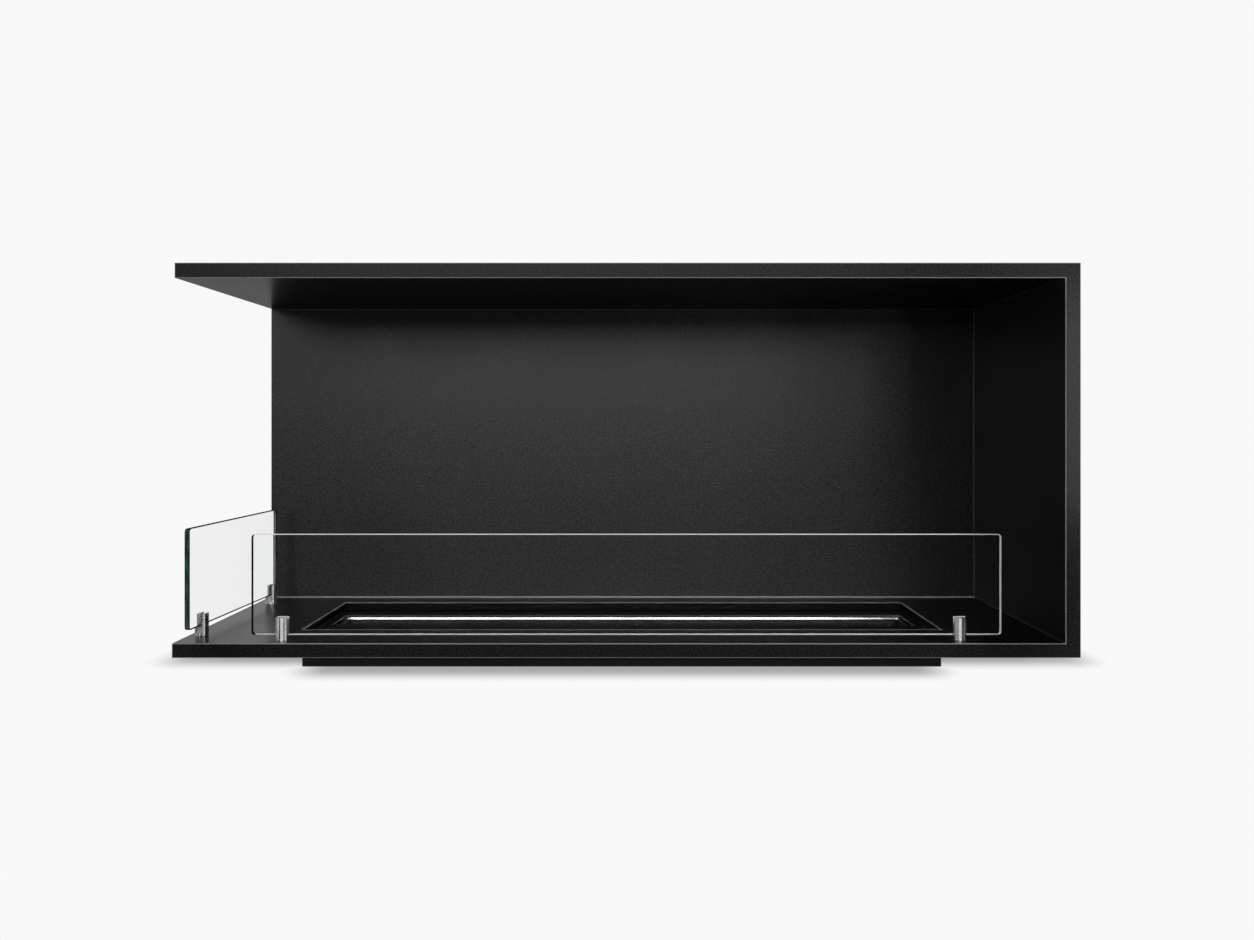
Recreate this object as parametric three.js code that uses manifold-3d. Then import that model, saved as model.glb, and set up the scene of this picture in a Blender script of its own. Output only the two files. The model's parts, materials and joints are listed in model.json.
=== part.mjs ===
// A built-in bioethanol fireplace: a double-walled black steel box that is open at its front and at its
// left end, a burner trough sunk through its floor, and two loose glass guards in slotted steel clamps.
// Millimetres. +X is right, +Y is the rear, +Z is up. The origin is the bottom centre of the whole object,
// so the trough's underside lies at z = 0 and the front face at y = -bodyDepth / 2.
import * as THREE from "three";
import { mergeVertices } from "three/addons/utils/BufferGeometryUtils.js";
import Module from "manifold-3d";

const wasm = await Module();
wasm.setup();

// ---------------------------------------------------------------- driving dimensions: the casing
const bodyWidth = 1000;
const bodyDepth = 300;
const bodyHeight = 435; // top face to the underside of the floor slab
const topSlab = 17; // thickness of each double wall, over both sheets
const floorSlab = 16;
const sideWall = 17;
const backWall = 17;
const topSetBack = 3; // how far the top slab stops short of the floor slab at the left
const sheet = 2; // casing sheet steel

// ---------------------------------------------------------------- spacers inside the double walls
const spacerSheet = 1.5;
const spacerFlange = 12;
const spacerEndGap = 8; // from a spacer's end to the nearest edge of its wall
const topSpacerInset = 250; // from the casing's left and right ends
const floorSpacerInset = [60, 70];
const wallSpacerInset = [106, 96]; // up from the floor and down from the ceiling, right wall and back alike

// ---------------------------------------------------------------- the burner trough in the floor
const troughInset = [118, 130]; // from the casing's left and right ends to the trough's
const troughWidth = 172;
const troughDrop = 28; // how far it hangs below the floor slab
const troughFromFront = 73; // front face of the casing to the trough's front face
const troughSheet = 1.5;
const troughFlange = 12;
const restShelf = 7; // the angles that carry the burner: shelf, leg and sheet
const restLeg = 12;
const restSheet = 1.5;
const restEndGap = 10;

// ---------------------------------------------------------------- the burner
const plateRecess = 9; // floor surface down to the burner's top plate
const plateSheet = 2;
const plateRim = 8; // height of the plate's folded edge
const plateClearance = 0.5; // to the trough wall, all round
const slotInset = 14; // trough's ends to the slot's ends
const slotWidth = 59;
const slotFromFront = 67; // trough's front face to the slot's front edge
const shutterWidth = 72;
const shutterSheet = 1.5;
const shutterClearance = 0.5; // to the guides at its ends and to the plate's front rim
const shutterTravel = 52;
const hookHoleDiameter = 6;
const hookHoleInset = 4.5; // from the shutter's rear edge to a hole's centre
const hookHoleX = [-200, 200]; // from the middle of the burner
const guideSheet = 1.5;
const guideLedge = 13;
const guideLength = 129;
const guideStop = 1.6; // height of the tab that ends the shutter's travel
const stopGap = 1;
const tankEndGap = 1.5; // a guide's ledge to the tank's end wall
const tankWidth = 71;
const tankSheet = 1.5;
const tankFloorGap = 2; // trough floor to the tank's underside
const tankRimHeight = 4; // folded rim round the tank's mouth
const tankRimWidth = 1.5;
const tankLug = 13; // the ledge at each end of the tank, fastened under its guide
const woolClearance = 0.5;
const woolHeight = 17.4;
const meshSheet = 1.5;
const meshHoleLength = 15;
const meshHoleWidth = 27;
const meshBar = 5;

// ---------------------------------------------------------------- the glass guards and their clamps
const glassThickness = 6;
const glassHeight = 113;
const glassCorner = 4;
const glassArris = 0.5;
const frontGlassInset = 80; // from the casing's left and right ends to the pane's
const frontGlassFromFront = 22; // front face of the casing to the middle of the pane
const frontGlassLift = 5; // floor surface to the pane's lower edge
const frontClampOffset = 4; // trough's ends to the middles of the front clamps
const sideGlassLength = 241;
const sideGlassLift = 12;
const sideClampSpacing = 195;
const sideClampInset = [13.3, 44]; // front side clamp: from the left edge and from the front face
const sideGlassOverhang = 34; // pane beyond the front side clamp's middle
const sideGlassToeIn = 1.9; // degrees: the pane's rear end stands farther in than its front end
const clampDiameter = 15;
const clampHeight = 25;
const clampBase = 3.5; // solid metal under the slot
const clampChamfer = 0.6;
const slotClearance = 0.3; // glass to each cheek of the slot
const padSetBack = 2; // the silicone pad's ends, inside the clamp's round

// ---------------------------------------------------------------- screws
const screwDiameter = 4;
const screwClearance = 0.3; // round a shank or a sunk head, on the radius
const sunkHeadDiameter = 7.4;
const sunkHeadHeight = 1.7;
const sunkHeadDepth = 0.2; // how far a sunk head lies below its sheet
const socketWidth = 2.4;
const socketDepth = 1;
const socketSides = 6;
const coverScrewLength = 9;
const tankScrewLength = 6;
const coverScrewInset = 100; // outer back screws, from the casing's ends
const floorScrewY = 90; // floor screws, from the middle to the front and to the rear
const tankScrewInset = 14; // from the ends of the tank's lug
const clampHeadDiameter = 8.4;
const clampHeadHeight = 2.6;
const clampScrewGap = 0.3; // the screw's tip below the clamp's slot

const seatGap = 0.3; // left under a loose piece that rests on another
const weldGap = 0.3; // round the trough where it passes through the sheets
const roundSteps = 32;
const screwSteps = 16;
const cutMargin = 1; // how far a cutting body runs past the sheet that it cuts

// ---------------------------------------------------------------- levels and edges that pieces share
const slabBottomZ = troughDrop;
const floorZ = slabBottomZ + floorSlab;
const topZ = slabBottomZ + bodyHeight;
const ceilingZ = topZ - topSlab;
const frontY = -bodyDepth / 2;
const backY = bodyDepth / 2;
const leftX = -bodyWidth / 2;
const rightX = bodyWidth / 2;
const topLeftX = leftX + topSetBack;
const frameBackY = frontY + sheet;
const coverInnerBackY = backY - sheet;
const coverInnerRightX = rightX - sheet;
const coverInnerTopZ = topZ - sheet;
const coverInnerBottomZ = slabBottomZ + sheet;
const linerBackY = backY - backWall;
const linerRightX = rightX - sideWall;
const linerUndersideZ = floorZ - sheet;
const ceilingUpperZ = ceilingZ + sheet;
const linerRearFaceY = linerBackY + sheet;
const linerOuterFaceX = linerRightX + sheet;

const topSpacerX = shrink([leftX, rightX], topSpacerInset);
const floorSpacerX = [leftX + floorSpacerInset[0], rightX - floorSpacerInset[1]];
const wallSpacerZ = [floorZ + wallSpacerInset[0], ceilingZ - wallSpacerInset[1]];

const troughX = [leftX + troughInset[0], rightX - troughInset[1]];
const troughCentreX = (troughX[0] + troughX[1]) / 2;
const troughY = from(frontY + troughFromFront, troughWidth);
const troughInnerX = shrink(troughX, troughSheet);
const troughInnerY = shrink(troughY, troughSheet);

const plateX = shrink(troughInnerX, plateClearance);
const plateY = shrink(troughInnerY, plateClearance);
const plateTopZ = floorZ - plateRecess;
const plateUndersideZ = plateTopZ - plateSheet;
const plateRimZ = plateTopZ - plateRim;
const plateInnerX = shrink(plateX, plateSheet);
const plateInnerY = shrink(plateY, plateSheet);
const slotX = shrink(troughX, slotInset);
const slotY = from(troughY[0] + slotFromFront, slotWidth);

const shutterZ = from(plateUndersideZ - seatGap - shutterSheet, shutterSheet);
const shutterX = shrink(plateInnerX, guideSheet + shutterClearance);
const shutterY = from(plateInnerY[0] + shutterClearance, shutterWidth);
const guideTopZ = shutterZ[0] - seatGap;
const guideUndersideZ = guideTopZ - guideSheet;

const tankX = shrink(plateInnerX, guideLedge + tankEndGap);
const tankY = around((slotY[0] + slotY[1]) / 2, tankWidth);
const tankZ = [troughSheet + tankFloorGap, guideUndersideZ];
const tankInnerX = shrink(tankX, tankSheet);
const tankInnerY = shrink(tankY, tankSheet);
const tankFloorZ = tankZ[0] + tankSheet;
const woolZ = from(tankFloorZ + seatGap, woolHeight);

const frontGlassX = shrink([leftX, rightX], frontGlassInset);
const frontGlassY = frontY + frontGlassFromFront;
const sideClampAt = [leftX + sideClampInset[0], frontY + sideClampInset[1]];
const toeIn = THREE.MathUtils.degToRad(sideGlassToeIn);

// ---------------------------------------------------------------- materials
const blackSteel = finish(0x18181a, 0.42, 0.3);
const stainless = finish(0xb9bbbd, 0.25, 1);
const polishedSteel = finish(0xd6d8da, 0.1, 1);
const zincSteel = finish(0x9a9da0, 0.4, 1);
const clearGlass = finish(0xcfe6dc, 0.05, 0, 0.3);
const silicone = finish(0xdcdcd8, 0.6, 0);
const ceramicWool = finish(0xe8e6df, 0.95, 0);

function finish(color, roughness, metalness, opacity = 1) {
  return new THREE.MeshStandardMaterial({ color, roughness, metalness, opacity, transparent: opacity < 1 });
}

// ---------------------------------------------------------------- spans: a low and a high coordinate
function from(low, length) {
  return [low, low + length];
}

function around(centre, length) {
  return [centre - length / 2, centre + length / 2];
}

function shrink([low, high], by) {
  return [low + by, high - by];
}

// ---------------------------------------------------------------- shapes
// Moves every corner of a geometry through a rule that keeps right-handed axes right-handed.
function remap(geometry, rule) {
  const place = geometry.getAttribute("position");
  for (let i = 0; i < place.count; i++) {
    place.setXYZ(i, ...rule(place.getX(i), place.getY(i), place.getZ(i)));
  }
  return geometry;
}

function block(x, y, z) {
  const side = (value, span) => (value < 0 ? span[0] : span[1]);
  return remap(new THREE.BoxGeometry(1, 1, 1), (u, v, w) => [side(u, x), side(v, y), side(w, z)]);
}

// Bodies of one section: along Y the outline's corners are [x, z], along X they are [y, z].
function prismAlongY(corners, y) {
  return remap(extruded(corners), (u, v, w) => [u, w < 0.5 ? y[1] : y[0], v]);
}

function prismAlongX(corners, x) {
  return remap(extruded(corners), (u, v, w) => [w < 0.5 ? x[0] : x[1], u, v]);
}

function extruded(corners) {
  const outline = new THREE.Shape(corners.map(([u, v]) => new THREE.Vector2(u, v)));
  return new THREE.ExtrudeGeometry(outline, { depth: 1, bevelEnabled: false });
}

// A turned body about Z. The profile runs up from the axis and back to it, as [radius, z].
function turned(profile, steps = roundSteps) {
  const points = profile.map(([r, z]) => new THREE.Vector2(r, z));
  return remap(new THREE.LatheGeometry(points, steps), (x, y, z) => [x, -z, y]);
}

function rod(diameter, z, steps = roundSteps) {
  const r = diameter / 2;
  return turned([[0, z[0]], [r, z[0]], [r, z[1]], [0, z[1]]], steps);
}

function moved(geometry, x, y, z = 0) {
  return geometry.translate(x, y, z);
}

// ---------------------------------------------------------------- joining and cutting
function solidOf(geometry) {
  const bare = geometry.index ? geometry.toNonIndexed() : geometry.clone();
  bare.deleteAttribute("normal");
  bare.deleteAttribute("uv");
  const merged = mergeVertices(bare, 1e-4);
  const corners = merged.index.array;
  const kept = [];
  for (let i = 0; i < corners.length; i += 3) {
    const [a, b, c] = corners.slice(i, i + 3);
    if (a !== b && b !== c && c !== a) kept.push(a, b, c);
  }
  return new wasm.Manifold(
    new wasm.Mesh({
      numProp: 3,
      vertProperties: merged.getAttribute("position").array,
      triVerts: new Uint32Array(kept),
    }),
  );
}

function geometryOf(solid) {
  const mesh = solid.getMesh();
  const geometry = new THREE.BufferGeometry();
  geometry.setAttribute("position", new THREE.BufferAttribute(mesh.vertProperties, 3));
  geometry.setIndex(new THREE.BufferAttribute(mesh.triVerts, 1));
  geometry.computeVertexNormals();
  return geometry;
}

function join(first, ...others) {
  return geometryOf(others.reduce((whole, other) => whole.add(solidOf(other)), solidOf(first)));
}

function cut(body, ...cutters) {
  return geometryOf(cutters.reduce((rest, cutter) => rest.subtract(solidOf(cutter)), solidOf(body)));
}

function part(name, geometry, material) {
  const mesh = new THREE.Mesh(geometry, material);
  mesh.name = name;
  return mesh;
}

// ---------------------------------------------------------------- screws
// A sunk screw with its head's face at z = 0, pointing down. With a clearance it is the hole's shape,
// which runs on upwards by the margin.
function sunkProfile(length, clearance, margin) {
  const shank = screwDiameter / 2 + clearance;
  const head = sunkHeadDiameter / 2 + clearance;
  const mouth = margin > 0 ? [[head, 0], [head, margin]] : [[head, 0]];
  return [[0, -length], [shank, -length], [shank, -sunkHeadHeight], ...mouth, [0, margin]];
}

function sunkScrew(length) {
  const body = turned(sunkProfile(length, 0, 0), screwSteps);
  const socket = rod(socketWidth, [-socketDepth, cutMargin], socketSides);
  return cut(body, socket);
}

function sunkHole(depth) {
  return turned(sunkProfile(depth, screwClearance, cutMargin), screwSteps);
}

// ---------------------------------------------------------------- places of the screws
const backScrewX = [topLeftX + coverScrewInset, 0, rightX - coverScrewInset];
const backScrewZ = wallSpacerZ.map((z) => z + spacerSheet + spacerFlange / 2);
const backScrewPlaces = backScrewZ.flatMap((z) => backScrewX.map((x) => [x, z]));
const floorScrewPlaces = floorSpacerX.flatMap((x) =>
  [-floorScrewY, floorScrewY].map((y) => [x - spacerFlange / 2, y]),
);
const tankLugY = shrink(tankY, tankSheet);
const tankScrewPlaces = [
  { name: "front_left", x: tankX[0] - tankLug / 2, y: tankLugY[0] + tankScrewInset },
  { name: "rear_left", x: tankX[0] - tankLug / 2, y: tankLugY[1] - tankScrewInset },
  { name: "front_right", x: tankX[1] + tankLug / 2, y: tankLugY[0] + tankScrewInset },
  { name: "rear_right", x: tankX[1] + tankLug / 2, y: tankLugY[1] - tankScrewInset },
];
const frontClampPlaces = shrink(troughX, -frontClampOffset).map((x) => [x, frontGlassY]);
const sideClampPlaces = [0, sideClampSpacing].map((along) => [
  sideClampAt[0] + along * Math.sin(toeIn),
  sideClampAt[1] + along * Math.cos(toeIn),
]);

// Holes for a row of upright screws, and for the sunk screws in the back.
function uprightHoles(places, z) {
  return places.map(([x, y]) => moved(rod(screwDiameter + 2 * screwClearance, z, screwSteps), x, y));
}

function backHoles(depth) {
  const y = backY - sunkHeadDepth;
  return backScrewPlaces.map(([x, z]) => moved(sunkHole(depth).rotateX(-Math.PI / 2), x, y, z));
}

function floorHoles(depth) {
  const z = slabBottomZ + sunkHeadDepth;
  return floorScrewPlaces.map(([x, y]) => moved(sunkHole(depth).rotateX(Math.PI), x, y, z));
}

// ---------------------------------------------------------------- the casing
// One unbroken band round the front: over the top slab, down the right wall and along the floor slab.
function frontFrame() {
  const band = [
    [leftX, slabBottomZ],
    [rightX, slabBottomZ],
    [rightX, topZ],
    [topLeftX, topZ],
    [topLeftX, ceilingZ],
    [linerRightX, ceilingZ],
    [linerRightX, floorZ],
    [leftX, floorZ],
  ];
  return part("front_frame", prismAlongY(band, [frontY, frameBackY]), blackSteel);
}

function topCover() {
  const plate = block([topLeftX, rightX], [frameBackY, backY], [coverInnerTopZ, topZ]);
  const leftFold = block([topLeftX, topLeftX + sheet], [frameBackY, coverInnerBackY], [ceilingZ, topZ]);
  return part("top_cover", join(plate, leftFold), blackSteel);
}

function ceilingLiner() {
  const x = [topLeftX + sheet, coverInnerRightX];
  const plate = block(x, [frameBackY, coverInnerBackY], [ceilingZ, ceilingUpperZ]);
  return part("ceiling_liner", plate, blackSteel);
}

function rightCover() {
  const plate = block([coverInnerRightX, rightX], [frameBackY, backY], [coverInnerBottomZ, coverInnerTopZ]);
  return part("right_cover", plate, blackSteel);
}

function rightLiner() {
  const plate = block([linerRightX, linerOuterFaceX], [frameBackY, linerBackY], [floorZ, ceilingZ]);
  return part("right_liner", plate, blackSteel);
}

function backCover() {
  const plateZ = [coverInnerBottomZ, coverInnerTopZ];
  const plate = block([topLeftX, coverInnerRightX], [coverInnerBackY, backY], plateZ);
  const leftFold = block([topLeftX, topLeftX + sheet], [linerRearFaceY, backY], [floorZ, ceilingZ]);
  return part("back_cover", cut(join(plate, leftFold), ...backHoles(sheet + cutMargin)), blackSteel);
}

function backLiner() {
  const plate = block([topLeftX, linerOuterFaceX], [linerBackY, linerRearFaceY], [floorZ, ceilingZ]);
  return part("back_liner", plate, blackSteel);
}

function troughHole(z) {
  return block(shrink(troughX, -weldGap), shrink(troughY, -weldGap), shrink(z, -cutMargin));
}

function bottomCover() {
  const plateZ = [slabBottomZ, coverInnerBottomZ];
  const plate = block([leftX, rightX], [frameBackY, backY], plateZ);
  const leftFold = block([leftX, leftX + sheet], [frameBackY, backY], [slabBottomZ, floorZ]);
  const whole = join(plate, leftFold);
  return part("bottom_cover", cut(whole, troughHole(plateZ), ...floorHoles(sheet + cutMargin)), blackSteel);
}

function floorLiner() {
  const plateZ = [linerUndersideZ, floorZ];
  const plate = block([leftX + sheet, coverInnerRightX], [frameBackY, coverInnerBackY], plateZ);
  const clampPlaces = [...frontClampPlaces, ...sideClampPlaces];
  const clampHoles = uprightHoles(clampPlaces, shrink(plateZ, -cutMargin));
  return part("floor_liner", cut(plate, troughHole(plateZ), ...clampHoles), blackSteel);
}

// ---------------------------------------------------------------- spacers between the two sheets of a wall
// A Z section: the web stands at u, one flange lies on each sheet. v runs across the hollow.
function spacerSection(u, [low, high]) {
  const far = u + spacerSheet;
  return [
    [u - spacerFlange, low],
    [far, low],
    [far, high - spacerSheet],
    [far + spacerFlange, high - spacerSheet],
    [far + spacerFlange, high],
    [u, high],
    [u, low + spacerSheet],
    [u - spacerFlange, low + spacerSheet],
  ];
}

function swapped(corners) {
  return corners.map(([u, v]) => [v, u]);
}

function topSpacers() {
  const hollow = [ceilingUpperZ, coverInnerTopZ];
  const run = shrink([frameBackY, coverInnerBackY], spacerEndGap);
  return topSpacerX.map((x, i) => {
    return part("top_spacer_" + (i + 1), prismAlongY(spacerSection(x, hollow), run), zincSteel);
  });
}

function floorSpacers() {
  const hollow = [coverInnerBottomZ, linerUndersideZ];
  const run = shrink([frameBackY, coverInnerBackY], spacerEndGap);
  return floorSpacerX.map((x, i) => {
    const body = prismAlongY(spacerSection(x, hollow), run);
    return part("floor_spacer_" + (i + 1), cut(body, ...floorHoles(coverScrewLength)), zincSteel);
  });
}

function rightSpacers() {
  const hollow = [linerOuterFaceX, coverInnerRightX];
  const run = shrink([frameBackY, linerBackY], spacerEndGap);
  return wallSpacerZ.map((z, i) => {
    const body = prismAlongY(swapped(spacerSection(z, hollow)), run);
    return part("right_spacer_" + (i + 1), body, zincSteel);
  });
}

function backSpacers() {
  const hollow = [linerRearFaceY, coverInnerBackY];
  const run = shrink([topLeftX, linerOuterFaceX], spacerEndGap);
  return wallSpacerZ.map((z, i) => {
    const body = prismAlongX(swapped(spacerSection(z, hollow)), run);
    return part("back_spacer_" + (i + 1), cut(body, ...backHoles(coverScrewLength)), zincSteel);
  });
}

// ---------------------------------------------------------------- the trough and the angles inside it
function burnerHousing() {
  const walls = block(troughX, troughY, [0, floorZ]);
  const flangeZ = [linerUndersideZ - troughSheet, linerUndersideZ];
  const flange = block(shrink(troughX, -troughFlange), shrink(troughY, -troughFlange), flangeZ);
  const hollow = block(troughInnerX, troughInnerY, [troughSheet, floorZ + cutMargin]);
  return part("burner_housing", cut(join(walls, flange), hollow), blackSteel);
}

function burnerRests() {
  const length = shrink(troughInnerX, restEndGap);
  const shelfTop = plateRimZ - seatGap;
  const angle = (wall, inward) => {
    const ordered = (a, b) => (a < b ? [a, b] : [b, a]);
    const shelf = block(length, ordered(wall, wall + inward * restShelf), [shelfTop - restSheet, shelfTop]);
    const leg = block(length, ordered(wall, wall + inward * restSheet), [shelfTop - restLeg, shelfTop]);
    return join(shelf, leg);
  };
  return [
    part("burner_rest_front", angle(troughInnerY[0], 1), blackSteel),
    part("burner_rest_rear", angle(troughInnerY[1], -1), blackSteel),
  ];
}

// ---------------------------------------------------------------- the burner
function burnerTopPlate() {
  const whole = block(plateX, plateY, [plateRimZ, plateTopZ]);
  const under = block(plateInnerX, plateInnerY, [plateRimZ - cutMargin, plateUndersideZ]);
  const slot = block(slotX, slotY, [plateUndersideZ - cutMargin, plateTopZ + cutMargin]);
  return part("burner_top_plate", cut(whole, under, slot), blackSteel);
}

// The shutter lies open at rest, under the wide front of the plate, and slides back to close the slot.
function flameShutter() {
  const holeZ = shrink(shutterZ, -cutMargin);
  const holeY = shutterY[1] - hookHoleInset;
  const holes = hookHoleX.map((x) => moved(rod(hookHoleDiameter, holeZ), troughCentreX + x, holeY));
  return part("flame_shutter", cut(block(shutterX, shutterY, shutterZ), ...holes), stainless);
}

function sinkInGuide({ x, y }) {
  return moved(sunkHole(tankScrewLength), x, y, guideTopZ - sunkHeadDepth);
}

function shutterGuide(name, outerX, inward) {
  const ordered = (a, b) => (a < b ? [a, b] : [b, a]);
  const run = from(plateInnerY[0], guideLength);
  const webX = ordered(outerX, outerX + inward * guideSheet);
  const ledgeX = ordered(outerX, outerX + inward * guideLedge);
  const web = block(webX, run, [guideUndersideZ, plateUndersideZ]);
  const ledge = block(ledgeX, run, [guideUndersideZ, guideTopZ]);
  const stopY = from(shutterY[1] + shutterTravel + stopGap, guideSheet);
  const stop = block(ledgeX, stopY, [guideUndersideZ, guideTopZ + guideStop]);
  return part(name, cut(join(web, ledge, stop), ...tankScrewPlaces.map(sinkInGuide)), stainless);
}

function fuelTank() {
  const walls = block(tankX, tankY, tankZ);
  const rimZ = [tankZ[1] - tankRimHeight, tankZ[1]];
  const rim = block(shrink(tankX, -tankRimWidth), shrink(tankY, -tankRimWidth), rimZ);
  const lugs = block(shrink(tankX, -tankLug), tankLugY, [tankZ[1] - tankSheet, tankZ[1]]);
  const hollow = block(tankInnerX, tankInnerY, [tankFloorZ, tankZ[1] + cutMargin]);
  const screwHoles = tankScrewPlaces.map(sinkInGuide);
  return part("fuel_tank", cut(join(walls, rim, lugs), hollow, ...screwHoles), stainless);
}

function woolPad() {
  const pad = block(shrink(tankInnerX, woolClearance), shrink(tankInnerY, woolClearance), woolZ);
  return part("ceramic_wool", pad, ceramicWool);
}

function retainingMesh() {
  const x = shrink(tankInnerX, woolClearance);
  const y = shrink(tankInnerY, woolClearance);
  const z = from(woolZ[1] + seatGap, meshSheet);
  const columns = Math.floor((x[1] - x[0] - meshBar) / (meshHoleLength + meshBar));
  const rows = Math.floor((y[1] - y[0] - meshBar) / (meshHoleWidth + meshBar));
  const middleOf = (i, count, span, pitch) => (span[0] + span[1]) / 2 + (i - (count - 1) / 2) * pitch;
  const holes = [];
  for (let i = 0; i < columns; i++) {
    for (let j = 0; j < rows; j++) {
      const holeX = around(middleOf(i, columns, x, meshHoleLength + meshBar), meshHoleLength);
      const holeY = around(middleOf(j, rows, y, meshHoleWidth + meshBar), meshHoleWidth);
      holes.push(block(holeX, holeY, shrink(z, -cutMargin)));
    }
  }
  return part("retaining_mesh", cut(block(x, y, z), ...holes), stainless);
}

function tankScrews() {
  return tankScrewPlaces.map(({ name, x, y }) => {
    const screw = part("tank_screw_" + name, sunkScrew(tankScrewLength), zincSteel);
    screw.position.set(x, y, guideTopZ - sunkHeadDepth);
    return screw;
  });
}

// ---------------------------------------------------------------- glass guards and clamps
// A pane with rounded corners and ground arrises, standing in the XZ plane over z = 0.
function pane(length) {
  const r = glassCorner - glassArris;
  const [low, high] = shrink([0, length], glassArris);
  const [bottom, top] = shrink([0, glassHeight], glassArris);
  const outline = new THREE.Shape();
  outline.absarc(high - r, bottom + r, r, -Math.PI / 2, 0);
  outline.absarc(high - r, top - r, r, 0, Math.PI / 2);
  outline.absarc(low + r, top - r, r, Math.PI / 2, Math.PI);
  outline.absarc(low + r, bottom + r, r, Math.PI, 1.5 * Math.PI);
  const body = new THREE.ExtrudeGeometry(outline, {
    depth: glassThickness - 2 * glassArris,
    bevelThickness: glassArris,
    bevelSize: glassArris,
    bevelSegments: 1,
    curveSegments: 4,
  });
  return remap(body, (u, v, w) => [u, glassThickness / 2 - glassArris - w, v]);
}

// A slotted round clamp with its pad and its screw, standing at z = 0 with its slot along X.
function clamp(name, glassLift) {
  const group = new THREE.Group();
  const r = clampDiameter / 2;
  const profile = [
    [0, 0],
    [r - clampChamfer / 2, 0],
    [r, clampChamfer / 2],
    [r, clampHeight - clampChamfer],
    [r - clampChamfer, clampHeight],
    [0, clampHeight],
  ];
  const slotY = around(0, glassThickness + 2 * slotClearance);
  const slot = block(shrink([-r, r], -cutMargin), slotY, [clampBase, clampHeight + cutMargin]);
  const thread = rod(screwDiameter + 2 * screwClearance, [-cutMargin, clampBase + cutMargin], screwSteps);
  group.add(part(name + "_clamp", cut(turned(profile), slot, thread), polishedSteel));

  const padX = shrink([-r, r], padSetBack);
  const padY = shrink(slotY, slotClearance);
  const padZ = [clampBase, glassLift - seatGap];
  group.add(part(name + "_clamp_pad", block(padX, padY, padZ), silicone));
  group.add(part(name + "_clamp_screw", clampScrew(), zincSteel));
  return group;
}

// The clamp's screw comes up through the floor liner, with its head in the hollow slab.
function clampScrew() {
  const head = clampHeadDiameter / 2;
  const shank = screwDiameter / 2;
  const headEnd = -sheet - clampHeadHeight;
  const profile = [
    [0, headEnd],
    [head, headEnd],
    [head, -sheet],
    [shank, -sheet],
    [shank, clampBase - clampScrewGap],
    [0, clampBase - clampScrewGap],
  ];
  const socket = rod(socketWidth, [headEnd - cutMargin, headEnd + socketDepth], socketSides);
  return cut(turned(profile, screwSteps), socket);
}

function frontGuard() {
  const group = new THREE.Group();
  frontClampPlaces.forEach(([x, y], i) => {
    const set = clamp(["front_left", "front_right"][i], frontGlassLift);
    set.position.set(x, y, floorZ);
    group.add(set);
  });
  const glass = part("front_glass", pane(frontGlassX[1] - frontGlassX[0]), clearGlass);
  glass.position.set(frontGlassX[0], frontGlassY, floorZ + frontGlassLift);
  group.add(glass);
  return group;
}

// The side guard is built along X from its front clamp, then turned to run to the rear.
function sideGuard() {
  const group = new THREE.Group();
  [0, sideClampSpacing].forEach((along, i) => {
    const set = clamp(["side_front", "side_rear"][i], sideGlassLift);
    set.position.x = along;
    group.add(set);
  });
  const glass = part("side_glass", pane(sideGlassLength), clearGlass);
  glass.position.set(-sideGlassOverhang, 0, sideGlassLift);
  group.add(glass);
  group.position.set(...sideClampAt, floorZ);
  group.rotation.z = Math.PI / 2 - toeIn;
  return group;
}

// ---------------------------------------------------------------- the covers' screws
function coverScrews() {
  const screws = backScrewPlaces.map(([x, z], i) => {
    const screw = part("back_cover_screw_" + (i + 1), sunkScrew(coverScrewLength), zincSteel);
    screw.position.set(x, backY - sunkHeadDepth, z);
    screw.rotation.x = -Math.PI / 2;
    return screw;
  });
  floorScrewPlaces.forEach(([x, y], i) => {
    const screw = part("bottom_cover_screw_" + (i + 1), sunkScrew(coverScrewLength), zincSteel);
    screw.position.set(x, y, slabBottomZ + sunkHeadDepth);
    screw.rotation.x = Math.PI;
    screws.push(screw);
  });
  return screws;
}

// ---------------------------------------------------------------- the whole fireplace
const fireplace = new THREE.Group();
fireplace.add(frontFrame(), topCover(), ceilingLiner(), rightCover(), rightLiner());
fireplace.add(backCover(), backLiner(), bottomCover(), floorLiner());
fireplace.add(...topSpacers(), ...floorSpacers(), ...rightSpacers(), ...backSpacers());
fireplace.add(...coverScrews());
fireplace.add(burnerHousing(), ...burnerRests());
fireplace.add(burnerTopPlate(), flameShutter(), fuelTank(), woolPad(), retainingMesh(), ...tankScrews());
fireplace.add(shutterGuide("shutter_guide_left", plateInnerX[0], 1));
fireplace.add(shutterGuide("shutter_guide_right", plateInnerX[1], -1));
fireplace.add(frontGuard(), sideGuard());

export default fireplace;
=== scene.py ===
# %% [markdown]
# # A built-in bioethanol fireplace for a corner
# The real thing is a double-walled box of black powder-coated sheet steel. It is open at its front and at its
# left end. A burner trough hangs through its floor, and two low panes of toughened glass stand in round slotted
# clamps. The CAD model gives every piece its place and its size. This lesson dresses it: soft arrises on folded
# sheet, polished and brushed steel, glass that is green along its edges, and a studio like the photograph's.

import json
import math

import bmesh
import bpy
from mathutils import Matrix, Vector, noise


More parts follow.
